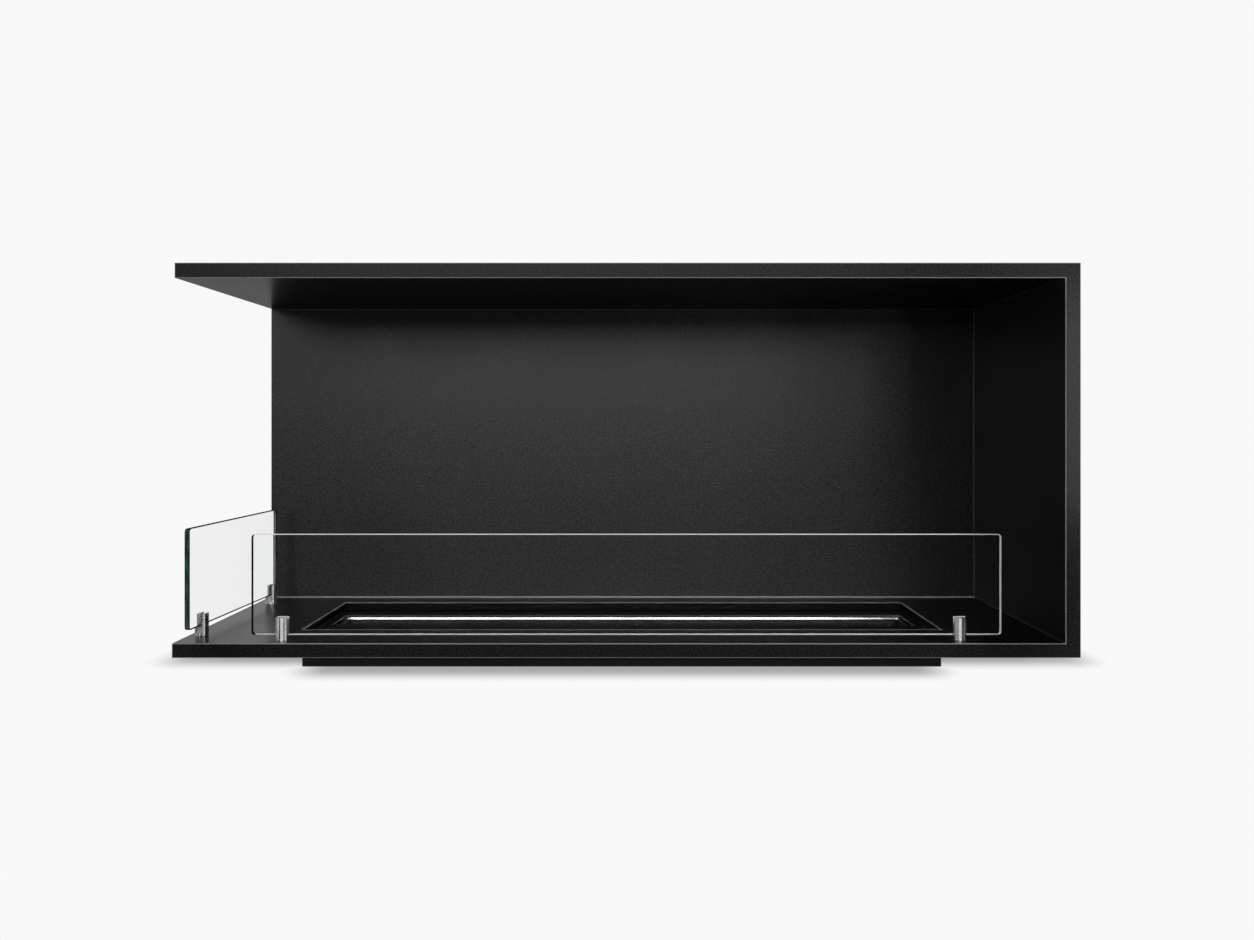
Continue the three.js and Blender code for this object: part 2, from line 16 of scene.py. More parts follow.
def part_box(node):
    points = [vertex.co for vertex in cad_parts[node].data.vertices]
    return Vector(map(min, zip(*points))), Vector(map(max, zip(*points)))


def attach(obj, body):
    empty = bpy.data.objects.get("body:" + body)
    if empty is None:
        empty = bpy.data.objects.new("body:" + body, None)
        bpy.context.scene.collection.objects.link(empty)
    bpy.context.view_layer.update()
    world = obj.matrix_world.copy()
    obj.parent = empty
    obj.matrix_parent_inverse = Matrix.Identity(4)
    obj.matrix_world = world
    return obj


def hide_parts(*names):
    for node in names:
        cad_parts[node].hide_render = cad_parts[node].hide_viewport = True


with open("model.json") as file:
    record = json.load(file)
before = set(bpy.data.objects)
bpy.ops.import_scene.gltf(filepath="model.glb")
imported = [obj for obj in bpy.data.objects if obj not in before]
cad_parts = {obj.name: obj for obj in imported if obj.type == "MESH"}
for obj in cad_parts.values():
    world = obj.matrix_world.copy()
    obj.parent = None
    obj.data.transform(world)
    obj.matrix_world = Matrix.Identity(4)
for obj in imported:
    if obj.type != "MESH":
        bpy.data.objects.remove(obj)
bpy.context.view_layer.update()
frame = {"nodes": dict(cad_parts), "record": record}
MM = 0.001

# %% [markdown]
# ## The camera
# The photograph looks straight at the front with no tilt, so uprights stay upright, and the lens is shifted a
# little instead. Its vanishing point and the width of the front face give the distance and the focal length.

# %% Camera
image_width, image_height = 1254, 940
focal_px, front_distance = 959.4, 1.055
vanishing_px = (633.0, 424.7)
eye_x, eye_above_floor = 0.0073, 0.24065

camera = bpy.data.cameras.new("photograph_view")
camera.sensor_width = 36
camera.lens = focal_px / image_width * camera.sensor_width
camera.shift_x = (image_width / 2 - vanishing_px[0]) / image_width
camera.shift_y = (vanishing_px[1] - image_height / 2) / image_width
eye = bpy.data.objects.new("photograph_view", camera)
front_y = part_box("front_frame")[0].y
floor_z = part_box("floor_liner")[1].z
eye.location = (eye_x, front_y - front_distance, floor_z + eye_above_floor)
eye.rotation_euler = (math.radians(90), 0, 0)
bpy.context.scene.collection.objects.link(eye)
bpy.context.scene.camera = eye
bpy.context.scene.view_settings.view_transform = "Standard"
print("camera", tuple(round(c, 4) for c in eye.location), "lens", round(camera.lens, 2))

# %% [markdown]
# ## Helpers for nodes
# Every finish is a small graph of nodes. Helpers keep the graphs short. The first adds a node and fills or links
# its sockets, and most of the others add one common kind of node. One starts a node group with named inputs and
# outputs, for an effect that several finishes share.

# %% Node helpers
def add_node(tree, kind, inputs=None, **settings):
    """One node. A value that is itself a socket is linked, any other value is written on the socket."""
    made = tree.nodes.new(kind)
    for key, value in settings.items():
        setattr(made, key, value)
    for key, value in (inputs or {}).items():
        if isinstance(value, bpy.types.NodeSocket):
            tree.links.new(value, made.inputs[key])
        else:
            made.inputs[key].default_value = value
    return made


def calculate(tree, operation, *values):
    return add_node(tree, "ShaderNodeMath", dict(enumerate(values)), operation=operation).outputs[0]


def ramp(tree, value, start, end, low=0.0, high=1.0, kind="LINEAR"):
    """Goes from low to high while the value goes from start to end."""
    inputs = {"Value": value, "From Min": start, "From Max": end, "To Min": low, "To Max": high}
    return add_node(tree, "ShaderNodeMapRange", inputs, interpolation_type=kind).outputs["Result"]


def spread(tree, value, low, high):
    """Turns a value from 0 to 1 into one from low to high."""
    return ramp(tree, value, 0.0, 1.0, low, high)


def cloudy(tree, vector, scale, detail, **more):
    inputs = {"Vector": vector, "Scale": scale, "Detail": detail, **more}
    return add_node(tree, "ShaderNodeTexNoise", inputs).outputs["Fac"]


def mixed_colour(tree, factor, first, second):
    """A colour between two others. Each is a socket or its red, green and blue."""
    inputs = {"Factor": factor}
    for key, colour in (("A", first), ("B", second)):
        inputs[key] = (*colour, 1) if isinstance(colour, tuple) else colour
    return add_node(tree, "ShaderNodeMix", inputs, data_type="RGBA").outputs["Result"]


def bumped(tree, height, depth, strength=1.0):
    inputs = {"Height": height, "Distance": depth, "Strength": strength}
    return add_node(tree, "ShaderNodeBump", inputs).outputs["Normal"]


def new_group(name, inputs, outputs):
    """A shader node group. Inputs are (label, kind, value), outputs are (label, kind)."""
    tree = bpy.data.node_groups.new(name, "ShaderNodeTree")
    for label, kind, value in inputs:
        socket = tree.interface.new_socket(label, in_out="INPUT", socket_type="NodeSocket" + kind)
        if value is not None:
            socket.default_value = value
    for label, kind in outputs:
        tree.interface.new_socket(label, in_out="OUTPUT", socket_type="NodeSocket" + kind)
    return tree, tree.nodes.new("NodeGroupInput").outputs, tree.nodes.new("NodeGroupOutput").inputs


def use_group(tree, group, inputs):
    return add_node(tree, "ShaderNodeGroup", inputs, node_tree=group).outputs


def new_material(name):
    material = bpy.data.materials.new(name)
    material.use_nodes = True
    tree = material.node_tree
    tree.nodes.clear()
    return material, tree


def own_place(tree, scale=(1, 1, 1)):
    """The object's own coordinates in metres, stretched by scale."""
    where = add_node(tree, "ShaderNodeTexCoord").outputs["Object"]
    return add_node(tree, "ShaderNodeMapping", {"Vector": where, "Scale": scale}).outputs["Vector"]


def finish_surface(tree, shader, volume=None):
    out = add_node(tree, "ShaderNodeOutputMaterial", {"Surface": shader})
    if volume is not None:
        tree.links.new(volume, out.inputs["Volume"])


def principled(tree, inputs):
    """Ends a material in one Principled shader."""
    finish_surface(tree, add_node(tree, "ShaderNodeBsdfPrincipled", inputs).outputs[0])


# %% [markdown]
# ## Effects that several finishes share
# Powder coat has a fine pebble like orange peel. It is a little rougher in some places than in others. A coat is
# thinner over an arris, so the arris is smoother and catches more light; on the black coat the arris is also
# painted light grey, a painted highlight along the edge. Rolled and brushed steel has fine parallel lines, and
# anything that is handled has faint smudges. Each effect is one group, placed in every material that needs it with
# its own values.

# %% The grain of powder coat
coat_grain, given, made = new_group(
    "coat_grain",
    [("Vector", "Vector", None), ("Pebble", "Float", 900.0), ("Roughness", "Float", 0.34)],
    [("Height", "Float"), ("Roughness", "Float"), ("Tone", "Float")],
)
pebble = cloudy(coat_grain, given["Vector"], given["Pebble"], 2.0, Roughness=0.55)
drift = cloudy(coat_grain, given["Vector"], 7.0, 3.0)
uneven = calculate(coat_grain, "ADD", spread(coat_grain, drift, -0.05, 0.05),
                   spread(coat_grain, pebble, -0.04, 0.04))
coat_grain.links.new(pebble, made["Height"])
coat_grain.links.new(calculate(coat_grain, "ADD", given["Roughness"], uneven), made["Roughness"])
coat_grain.links.new(ramp(coat_grain, pebble, 0.38, 0.62), made["Tone"])

# %% The thin coat over an arris, and the painted highlight on it
arris_wear_and_painted_highlight, given, made = new_group(
    "arris_wear_and_painted_highlight", [("Vector", "Vector", None), ("Amount", "Float", 1.0)], [("Mask", "Float")],
)
on_arris = add_node(arris_wear_and_painted_highlight, "ShaderNodeAttribute", attribute_name="arris").outputs["Fac"]
patchy = cloudy(arris_wear_and_painted_highlight, given["Vector"], 60.0, 4.0)
kept = calculate(arris_wear_and_painted_highlight, "MULTIPLY", on_arris, spread(arris_wear_and_painted_highlight, patchy, 0.7, 1.0))
arris_wear_and_painted_highlight.links.new(calculate(arris_wear_and_painted_highlight, "MULTIPLY", kept, given["Amount"]), made["Mask"])

# %% The lines of rolled and brushed steel
brushed_lines, given, made = new_group(
    "brushed_lines", [("Vector", "Vector", None)], [("Height", "Float"), ("Tone", "Float")],
)
fine = cloudy(brushed_lines, given["Vector"], 1.0, 4.0, Roughness=0.7)
broad = cloudy(brushed_lines, given["Vector"], 0.08, 2.0)
brushed_lines.links.new(fine, made["Height"])
brushed_lines.links.new(calculate(brushed_lines, "MULTIPLY", fine, broad), made["Tone"])

# %% Smudges
smudges, given, made = new_group(
    "smudges", [("Vector", "Vector", None), ("Base", "Float", 0.05), ("Smudged", "Float", 0.12)],
    [("Roughness", "Float")],
)
cloud = cloudy(smudges, given["Vector"], 22.0, 5.0, Roughness=0.62)
seen = ramp(smudges, cloud, 0.5, 0.78)
smudges.links.new(spread(smudges, seen, given["Base"], given["Smudged"]), made["Roughness"])
print("groups:", [g.name for g in bpy.data.node_groups])


def smudged(tree, base, most):
    """A roughness that is base where the surface is clean and most in a smudge."""
    return use_group(tree, smudges, {"Vector": own_place(tree), "Base": base, "Smudged": most})["Roughness"]


# %% [markdown]
# ## Black powder coat
# The casing, the trough and the burner's top plate are sprayed with black powder and baked. The coat is nearly
# black, satin, and reflects a little less than a clear lacquer. Its grain shows as a fine speckle, so it goes into
# the colour as well as into the bump and the roughness. Each place has its own copy of the coat, with its own grain
# and sheen; some copies also carry painted light and shade, darker on the hearth and inside the trough, lighter on
# the trough's front and on the right wall.

# %% Black powder coat
GRAINS_PER_METRE = 480.0
FINE, COARSE = 0.00003, 0.00006


def black_coat(name, roughness, depth, dark, light, specular):
    """Depth is the height of the grain. Dark and light are the colours between the grains and on them."""
    material, tree = new_material(name)
    place = own_place(tree)
    grain = use_group(tree, coat_grain, {"Vector": place, "Pebble": GRAINS_PER_METRE, "Roughness": roughness})
    # The arris mask makes the edge smoother and paints it light grey: a painted highlight.
    wear_and_painted_highlight = use_group(tree, arris_wear_and_painted_highlight, {"Vector": place, "Amount": 0.8})["Mask"]
    speckled = mixed_colour(tree, grain["Tone"], (dark, dark, dark * 1.05), (light, light, light * 1.05))
    principled(tree, {
        "Base Color": mixed_colour(tree, wear_and_painted_highlight, speckled, (0.36, 0.36, 0.364)),
        "Roughness": calculate(tree, "SUBTRACT", grain["Roughness"], calculate(tree, "MULTIPLY", wear_and_painted_highlight, 0.08)),
        "Normal": bumped(tree, grain["Height"], depth), "Specular IOR Level": specular,
    })
    return material


casing_coat = black_coat("black_powder_coat", 0.30, FINE, dark=0.004, light=0.018, specular=0.11)
# The hearth's copy is darker: painted shade inside the firebox.
hearth_coat_painted_shade = black_coat("hearth_coat_with_painted_shade", 0.30, FINE, dark=0.001, light=0.008, specular=0.22)
lining_coat = black_coat("black_lining_coat", 0.35, COARSE, dark=0.0002, light=0.025, specular=0.48)
burner_coat = black_coat("burner_powder_coat", 0.42, FINE, dark=0.0005, light=0.003, specular=0.12)
# The trough's copy is lighter: painted light on its front, which lies in the shade under the slab.
trough_coat_painted_light = black_coat("trough_coat_with_painted_light", 0.42, FINE, dark=0.010, light=0.020, specular=0.6)
# The right wall's copy is lighter: painted light where the mouth flag takes the lamps' light away.
right_wall_coat_painted_light = black_coat("right_wall_coat_with_painted_light", 0.35, COARSE, dark=0.006, light=0.032, specular=0.48)

# %% [markdown]
# ## Steel finishes
# The tank, the shutter and the perforated plate are brushed stainless sheet. Its lines are few in a metre along the
# brushing and many across it. The tank's inside and the perforated plate are painted nearly black, painted shade
# deep in the slot. The clamps are turned from bar and polished. Spacers and screws carry bright zinc, which shows as
# a faint patchwork of grey crystals.

# %% Brushed stainless
stainless, tree = new_material("brushed_stainless")
lines = use_group(tree, brushed_lines, {"Vector": own_place(tree, (12, 2600, 2600))})
wear_and_painted_highlight = use_group(tree, arris_wear_and_painted_highlight, {"Vector": own_place(tree), "Amount": 1.0})["Mask"]
principled(tree, {
    "Base Color": mixed_colour(tree, lines["Tone"], (0.42, 0.43, 0.44), (0.66, 0.67, 0.68)), "Metallic": 1.0,
    "Roughness": calculate(tree, "SUBTRACT", smudged(tree, 0.26, 0.36), calculate(tree, "MULTIPLY", wear_and_painted_highlight, 0.12)),
    "Normal": bumped(tree, lines["Height"], 0.000006),
})

# %% Bright stainless of the tank's lip
bright_steel, tree = new_material("bright_stainless")
principled(tree, {"Base Color": (0.86, 0.86, 0.86, 1), "Metallic": 1.0, "Roughness": smudged(tree, 0.12, 0.24)})

# %% Stainless painted nearly black and mottled: painted shade inside the tank and on the perforated plate
stainless_painted_shade, tree = new_material("stainless_with_painted_shade")
dark_mottle = cloudy(tree, own_place(tree), 45.0, 6.0, Roughness=0.65)
principled(tree, {
    "Base Color": mixed_colour(tree, dark_mottle, (0.006, 0.006, 0.006), (0.035, 0.033, 0.031)),
    "Roughness": spread(tree, dark_mottle, 0.75, 0.5), "Specular IOR Level": 0.2,
})

# %% Turned and polished steel of the clamps
polished_steel, tree = new_material("polished_steel")
turning = use_group(tree, brushed_lines, {"Vector": own_place(tree, (60, 60, 3200))})
upright = add_node(tree, "ShaderNodeTangent", direction_type="UV_MAP", uv_map="turning")
principled(tree, {
    "Base Color": (0.88, 0.885, 0.89, 1), "Metallic": 1.0, "Roughness": smudged(tree, 0.26, 0.31),
    "Normal": bumped(tree, turning["Height"], 0.0000005), "Anisotropic": 1.0, "Tangent": upright.outputs["Tangent"],
})

# %% Bright zinc
zinc, tree = new_material("bright_zinc")
crystals = add_node(tree, "ShaderNodeTexVoronoi", {"Vector": own_place(tree), "Scale": 260.0}).outputs["Distance"]
principled(tree, {
    "Base Color": mixed_colour(tree, crystals, (0.27, 0.28, 0.29), (0.42, 0.43, 0.43)), "Metallic": 1.0,
    "Roughness": smudged(tree, 0.34, 0.5),
})

# %% [markdown]
# ## Glass, silicone and ceramic wool
# Float glass holds a little iron, so light that has run a long way through it is green. The ends of the panes have
# finishes of their own: white where the ground edge catches light, painted black where it would mirror the black
# casing, a painted dark reflection that reflects nothing itself, and deep green on the side pane's near end. Shadow
# rays pass straight through, because a path tracer would otherwise draw the pane's shadow solid.

# %% Toughened glass
clear_glass, tree = new_material("clear_glass")
ground = add_node(tree, "ShaderNodeAttribute", attribute_name="arris").outputs["Fac"]
body = add_node(tree, "ShaderNodeBsdfPrincipled", {
    "Base Color": (1.0, 1.0, 1.0, 1), "IOR": 1.2, "Transmission Weight": 1.0,
    "Specular Tint": (0.05, 0.05, 0.05, 1),
    "Roughness": calculate(tree, "ADD", smudged(tree, 0.0, 0.006), calculate(tree, "MULTIPLY", ground, 0.06)),
})
passing = add_node(tree, "ShaderNodeBsdfTransparent", {"Color": (0.99, 1.0, 0.995, 1)})
is_shadow = add_node(tree, "ShaderNodeLightPath").outputs["Is Shadow Ray"]
surface = add_node(tree, "ShaderNodeMixShader", {0: is_shadow, 1: body.outputs[0], 2: passing.outputs[0]})
iron = add_node(tree, "ShaderNodeVolumeAbsorption", {"Color": (0.45, 0.85, 0.78, 1), "Density": 1.5})
finish_surface(tree, surface.outputs[0], iron.outputs[0])

# %% The ground edge of a pane
ground_edge, tree = new_material("ground_glass_edge")
grit = cloudy(tree, own_place(tree), 2200.0, 2.0)
principled(tree, {
    "Base Color": mixed_colour(tree, grit, (0.80, 0.84, 0.82), (0.94, 0.97, 0.96)),
    "Roughness": spread(tree, grit, 0.3, 0.5),
})

# %% The deep green end of a long pane
green_edge, tree = new_material("green_glass_edge")
streaks = cloudy(tree, own_place(tree, (900, 900, 45)), 1.0, 3.0)
principled(tree, {
    "Base Color": mixed_colour(tree, ramp(tree, streaks, 0.4, 0.65), (0.006, 0.028, 0.020), (0.055, 0.120, 0.095)),
    "Roughness": spread(tree, streaks, 0.08, 0.2), "Specular IOR Level": 0.5,
})

# %% A pane's edge painted black: a painted dark reflection
edge_painted_as_dark_reflection, tree = new_material("glass_edge_painted_as_dark_reflection")
principled(tree, {
    "Base Color": (0.003, 0.006, 0.005, 1), "Roughness": smudged(tree, 0.4, 0.5), "Specular IOR Level": 0.0,
})

# %% Silicone pads
silicone, tree = new_material("milky_silicone")
principled(tree, {
    "Base Color": (0.66, 0.66, 0.63, 1), "Roughness": smudged(tree, 0.42, 0.6), "Subsurface Weight": 0.25,
    "Subsurface Radius": (0.002, 0.002, 0.0018), "Subsurface Scale": 1.0,
})

# %% Ceramic wool
wool_white, tree = new_material("ceramic_wool")
fibres = cloudy(tree, own_place(tree, (500, 900, 900)), 1.0, 6.0, Roughness=0.7, Distortion=2.5)
principled(tree, {
    "Base Color": mixed_colour(tree, fibres, (0.62, 0.60, 0.55), (0.84, 0.83, 0.79)),
    "Roughness": spread(tree, fibres, 0.85, 1.0), "Sheen Weight": 0.3,
    "Normal": bumped(tree, fibres, 0.0006, strength=0.9),
})
print("materials:", [m.name for m in bpy.data.materials])

# %% [markdown]
# ## Rounded arrises on sheet steel
# No real edge is perfectly sharp: a fold has a radius of its sheet's thickness, and a sawn edge is eased before it
# is coated. That thin rounded line is what shows as a bright hairline in the photograph; the black coat also paints
# the bevel's faces lighter, a painted highlight. A copy of a CAD piece is merged and its flat triangles are joined,
# and then its outer edges are bevelled. Edges that lie flush against the next sheet stay sharp, so that the coat
# runs over the joint without a line.

# %% Copy a CAD piece and round its arrises
AXES = {"x": 0, "y": 1, "z": 2}


def in_plane(edge, axis, place):
    return all(abs(v.co[AXES[axis]] - place) < 0.02 * MM for v in edge.verts)


def merged_copy(node):
    """A CAD node's mesh with its corners merged and its flat faces joined."""
    shape = bmesh.new()
    shape.from_mesh(frame["nodes"][node].data)
    bmesh.ops.remove_doubles(shape, verts=shape.verts, dist=0.002 * MM)
    bmesh.ops.dissolve_limit(shape, angle_limit=math.radians(0.5), verts=shape.verts, edges=shape.edges)
    shape.faces.layers.float.new("arris")
    return shape


def new_shape():
    shape = bmesh.new()
    shape.faces.layers.float.new("arris")
    return shape


def prism(shape, near, far):
    """Closes two like rings of corners into a solid."""
    rings = [[shape.verts.new(p) for p in ring] for ring in (near, far)]
    for i in range(len(near)):
        j = (i + 1) % len(near)
        shape.faces.new((rings[0][i], rings[0][j], rings[1][j], rings[1][i]))
    shape.faces.new(rings[0][::-1])
    shape.faces.new(rings[1])


def paint_shade_inside(shape, low, high, wall, base):
    """Gives the second material, a darker one that is painted shade, to the faces inside a box's walls and base, and
    counts them.
    """
    inside = 0
    for face in shape.faces:
        middle = face.calc_center_median()
        depth = min(middle.x - low.x, high.x - middle.x, middle.y - low.y, high.y - middle.y)
        if depth > wall and middle.z > low.z + base:
            face.material_index = 1
            inside += 1
    return inside


def round_arrises(shape, radius, flush=(), only=None, steps=3):
    """Bevels the outward square edges that don't lie in a flush plane, and marks the faces of the bevel, which the
    black coat paints lighter as a painted highlight.
    """
    mark = shape.faces.layers.float["arris"]
    chosen = [
        e for e in shape.edges
        if e.is_manifold and e.is_convex and e.calc_face_angle(0) > math.radians(60)
        and e.calc_length() > 1.2 * MM
        and not any(in_plane(e, *plane) for plane in flush)
        and (only is None or only(e))
    ]
    made = bmesh.ops.bevel(
        shape, geom=chosen, offset=radius, offset_type="OFFSET", segments=steps, profile=0.5,
        affect="EDGES", clamp_overlap=True, miter_outer="SHARP", material=-1,
    )
    for face in made["faces"]:
        face[mark] = 1.0
    return len(chosen)


def shown(name, shape, material, body, slot, *nodes):
    """Turns a finished shape into a piece that rides on a body and stands for CAD nodes."""
    for edge in shape.edges:
        edge.smooth = edge.calc_face_angle(0) < math.radians(38)
    for face in shape.faces:
        face.smooth = True
    mesh = bpy.data.meshes.new(name)
    shape.to_mesh(mesh)
    shape.free()
    piece = bpy.data.objects.new(name, mesh)
    bpy.context.scene.collection.objects.link(piece)
    mesh.materials.append(material)
    even = piece.modifiers.new("even_normals", "WEIGHTED_NORMAL")
    even.keep_sharp = True
    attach(piece, body)
    if nodes:
        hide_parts(*nodes)
    return piece


# %% [markdown]
# ## The casing's sheets
# The front band is one unbroken face with no seam at its corners, and the covers and liners run back from it. Each
# entry names the sheet, the radius of its arrises and the planes where it lies flush against a neighbour. The
# back cover is a separate screwed plate, so it gets a small radius all round that leaves a hairline joint.

# %% Casing sheets
def at(*places):
    """Planes in millimetres, such as ("y", -148), in metres."""
    return [(axis, place * MM) for axis, place in places]


casing_sheets = [
    ("casing_front_band", "front_frame", 0.8, at(("y", -148))),
    ("casing_top_sheet", "top_cover", 0.8, at(("y", -148), ("z", 461), ("x", -495))),
    ("casing_right_sheet", "right_cover", 0.8, at(("y", -148), ("z", 461), ("z", 30), ("x", 498))),
    ("casing_back_lining", "back_liner", 0.8, at(("y", 133), ("z", 44), ("z", 446), ("x", 485))),
    ("casing_floor_sheet", "bottom_cover", 0.8, at(("y", -148), ("z", 30), ("x", -498))),
    ("hearth_sheet", "floor_liner", 0.4, at(("y", -148), ("z", 42), ("x", -498), ("x", 498), ("y", 148))),
]
for name, node, radius, flush in casing_sheets:
    shape = merged_copy(node)
    count = round_arrises(shape, radius * MM, flush)
    coat = {"back_liner": lining_coat, "floor_liner": hearth_coat_painted_shade}.get(node, casing_coat)
    shown(name, shape, coat, "casing", "black_steel", node)
    print(name, "arrises:", count)

# %% The screwed back cover
shape = merged_copy("back_cover")
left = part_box("back_cover")[0].x
round_arrises(shape, 0.8 * MM, at(("y", 133)), only=lambda e: in_plane(e, "x", left))
joint = round_arrises(shape, 0.35 * MM, at(("y", 148), ("y", 133)), only=lambda e: in_plane(e, "y", 0.150))
shown("back_cover_plate", shape, casing_coat, "casing", "black_steel", "back_cover")
print("back cover joint edges:", joint)

# %% [markdown]
# ## Fillets where the linings meet
# Inside the firebox the sheets are welded from behind, and the coat gathers in the corner as a small round. The
# photograph shows it as a bright line between floor and back, so that fillet carries the full arris mark and its
# coat is painted lighter, a painted highlight line; the other fillets carry a tenth of it. Each fillet is a thin
# prism with one hollow side, sunk a little into both sheets so that no two faces lie in one plane.

# %% Corner fillets
def fillet(shape, start, end, out_a, out_b, radius=1.3 * MM, sink=0.25 * MM, steps=5):
    """A hollow fillet from start to end between two walls that face out_a and out_b."""
    start, end, a, b = map(Vector, (start, end, out_a, out_b))
    section = [-(a + b) * sink, a * radius - b * sink]
    for i in range(steps + 1):
        turn = i / steps * math.pi / 2
        section.append((a + b) * radius - b * radius * math.cos(turn) - a * radius * math.sin(turn))
    section.append(b * radius - a * sink)
    prism(shape, [start + q for q in section], [end + q for q in section])


ceiling_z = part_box("ceiling_liner")[0].z
inner_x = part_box("right_liner")[0].x
inner_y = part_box("back_liner")[0].y
left_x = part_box("back_liner")[0].x + 0.9 * MM
near_y = front_y + 0.9 * MM
shape = new_shape()
fillet(shape, (left_x, inner_y, floor_z), (inner_x, inner_y, floor_z), (0, -1, 0), (0, 0, 1))
fillet(shape, (left_x, inner_y, ceiling_z), (inner_x, inner_y, ceiling_z), (0, -1, 0), (0, 0, -1))
fillet(shape, (inner_x, near_y, floor_z), (inner_x, inner_y, floor_z), (-1, 0, 0), (0, 0, 1))
fillet(shape, (inner_x, near_y, ceiling_z), (inner_x, inner_y, ceiling_z), (-1, 0, 0), (0, 0, -1))
fillet(shape, (inner_x, inner_y, floor_z), (inner_x, inner_y, ceiling_z), (-1, 0, 0), (0, -1, 0))
bmesh.ops.recalc_face_normals(shape, faces=shape.faces)
mark = shape.faces.layers.float["arris"]
reach = 4 * MM
# The floor-and-back fillet is painted lighter as a painted highlight line; the others only faintly.
for face in shape.faces:
    middle = face.calc_center_median()
    face[mark] = 1.0 if middle.y > inner_y - reach and middle.z < floor_z + reach else 0.1
print("fillet faces:", len(shape.faces))
shown("corner_fillets", shape, lining_coat, "casing", "black_steel")

# %% [markdown]
# ## The trough and the burner's top plate
# The trough is folded from thinner sheet and its rim stands flush in the hearth, with a groove all round. The
# burner's plate lies 9 mm lower, folded down at its edges, with one long slot. Its fold is rounder than the eased
# edges of the slot, so it is bevelled in two goes. Inside, the trough takes the plate's darker coat as painted
# shade.

# %% Trough and top plate
FLANGE, NEARLY_A_SHEET = 12 * MM, 1.4 * MM


def below_flange(edge):
    heights = [v.co.z for v in edge.verts]
    return max(heights) < 43 * MM and min(heights) < 39 * MM


shape = merged_copy("burner_housing")
round_arrises(shape, 1.0 * MM, only=below_flange)
round_arrises(shape, 0.4 * MM, only=lambda e: in_plane(e, "z", floor_z))
# The faces inside the trough take the plate's darker coat: painted shade.
inside = paint_shade_inside(shape, *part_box("burner_housing"), FLANGE + NEARLY_A_SHEET, NEARLY_A_SHEET)
piece = shown("burner_trough", shape, trough_coat_painted_light, "casing", "black_steel", "burner_housing")
piece.data.materials.append(burner_coat)
print("trough faces inside:", inside)

plate_low, plate_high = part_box("burner_top_plate")


def on_plate_rim(edge):
    """True for the plate's outer top edges and its upright corners."""
    middle = (edge.verts[0].co + edge.verts[1].co) / 2
    outside = [abs(middle[i] - p[i]) < 0.02 * MM for i in (0, 1) for p in (plate_low, plate_high)]
    return any(outside) and not in_plane(edge, "z", plate_low.z)


shape = merged_copy("burner_top_plate")
fold = round_arrises(shape, 1.0 * MM, only=on_plate_rim)
eased = round_arrises(shape, 0.4 * MM, only=lambda e: in_plane(e, "z", plate_high.z))
shown("burner_slot_plate", shape, burner_coat, "burner", "black_steel", "burner_top_plate")
print("plate: fold edges", fold, "slot edges", eased)

# %% [markdown]
# ## The tank, the shutter and its guides
# Only the tank's rear rim shows in the photograph, as a bright strip seen through the slot. From above, the tank,
# its perforated plate and the shutter's hook holes show as well, so each piece of sheet gets its own soft edge.

# %% Stainless sheet parts
for name, node, body in [
    ("tank_body", "fuel_tank", "burner"),
    ("shutter_blade", "flame_shutter", "shutter"),
    ("left_guide", "shutter_guide_left", "burner"),
    ("right_guide", "shutter_guide_right", "burner"),
]:
    shape = merged_copy(node)
    count = round_arrises(shape, 0.3 * MM)
    # The faces inside the tank take the near-black stainless: painted shade.
    inside = paint_shade_inside(shape, *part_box(node), 1.3 * MM, 1.2 * MM) if name == "tank_body" else 0
    piece = shown(name, shape, stainless, body, "stainless", node)
    if inside:
        piece.data.materials.append(stainless_painted_shade)
    print(name, "arrises:", count, "sooted faces:", inside)

# %% The tank's bright lip
low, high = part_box("fuel_tank")
foot, rear_crest, crest = 28.6 * MM, 31.2 * MM, 31.5 * MM
section = [(high.y - 1.8 * MM, foot), (high.y - 1.2 * MM, crest), (high.y - 0.1 * MM, rear_crest),
           (high.y - 0.1 * MM, foot)]
shape = new_shape()
prism(shape, *[[(x, y, z) for y, z in section] for x in (low.x + 5 * MM, high.x - 5 * MM)])
bmesh.ops.recalc_face_normals(shape, faces=shape.faces)
round_arrises(shape, 0.15 * MM, steps=2)
shown("tank_lip", shape, bright_steel, "burner", "stainless")

# %% [markdown]
# ## Geometry Nodes: a tree that is run once
# What repeats is grown by a geometry tree: its named inputs hold the sizes, and the result is turned into a plain
# mesh, because the exported model can't hold a live tree. An input is set by its socket's identifier.

# %% Run a geometry tree
def new_tree(name, inputs):
    tree = bpy.data.node_groups.new(name, "GeometryNodeTree")
    tree.interface.new_socket("Geometry", in_out="INPUT", socket_type="NodeSocketGeometry")
    for label, kind in inputs:
        tree.interface.new_socket(label, in_out="INPUT", socket_type="NodeSocket" + kind)
    tree.interface.new_socket("Geometry", in_out="OUTPUT", socket_type="NodeSocketGeometry")
    return tree, tree.nodes.new("NodeGroupInput").outputs, tree.nodes.new("NodeGroupOutput").inputs


def joined(tree, *parts):
    both = add_node(tree, "GeometryNodeJoinGeometry")
    for part in parts:
        tree.links.new(part, both.inputs[0])
    return both.outputs[0]


def finish_tree(tree, geometry, made, finish):
    """Ends a tree: its instances become a mesh, which takes the finish."""
    real = add_node(tree, "GeometryNodeRealizeInstances", {"Geometry": geometry}).outputs["Geometry"]
    coated = add_node(tree, "GeometryNodeSetMaterial", {"Geometry": real, "Material": finish})
    tree.links.new(coated.outputs["Geometry"], made[0])


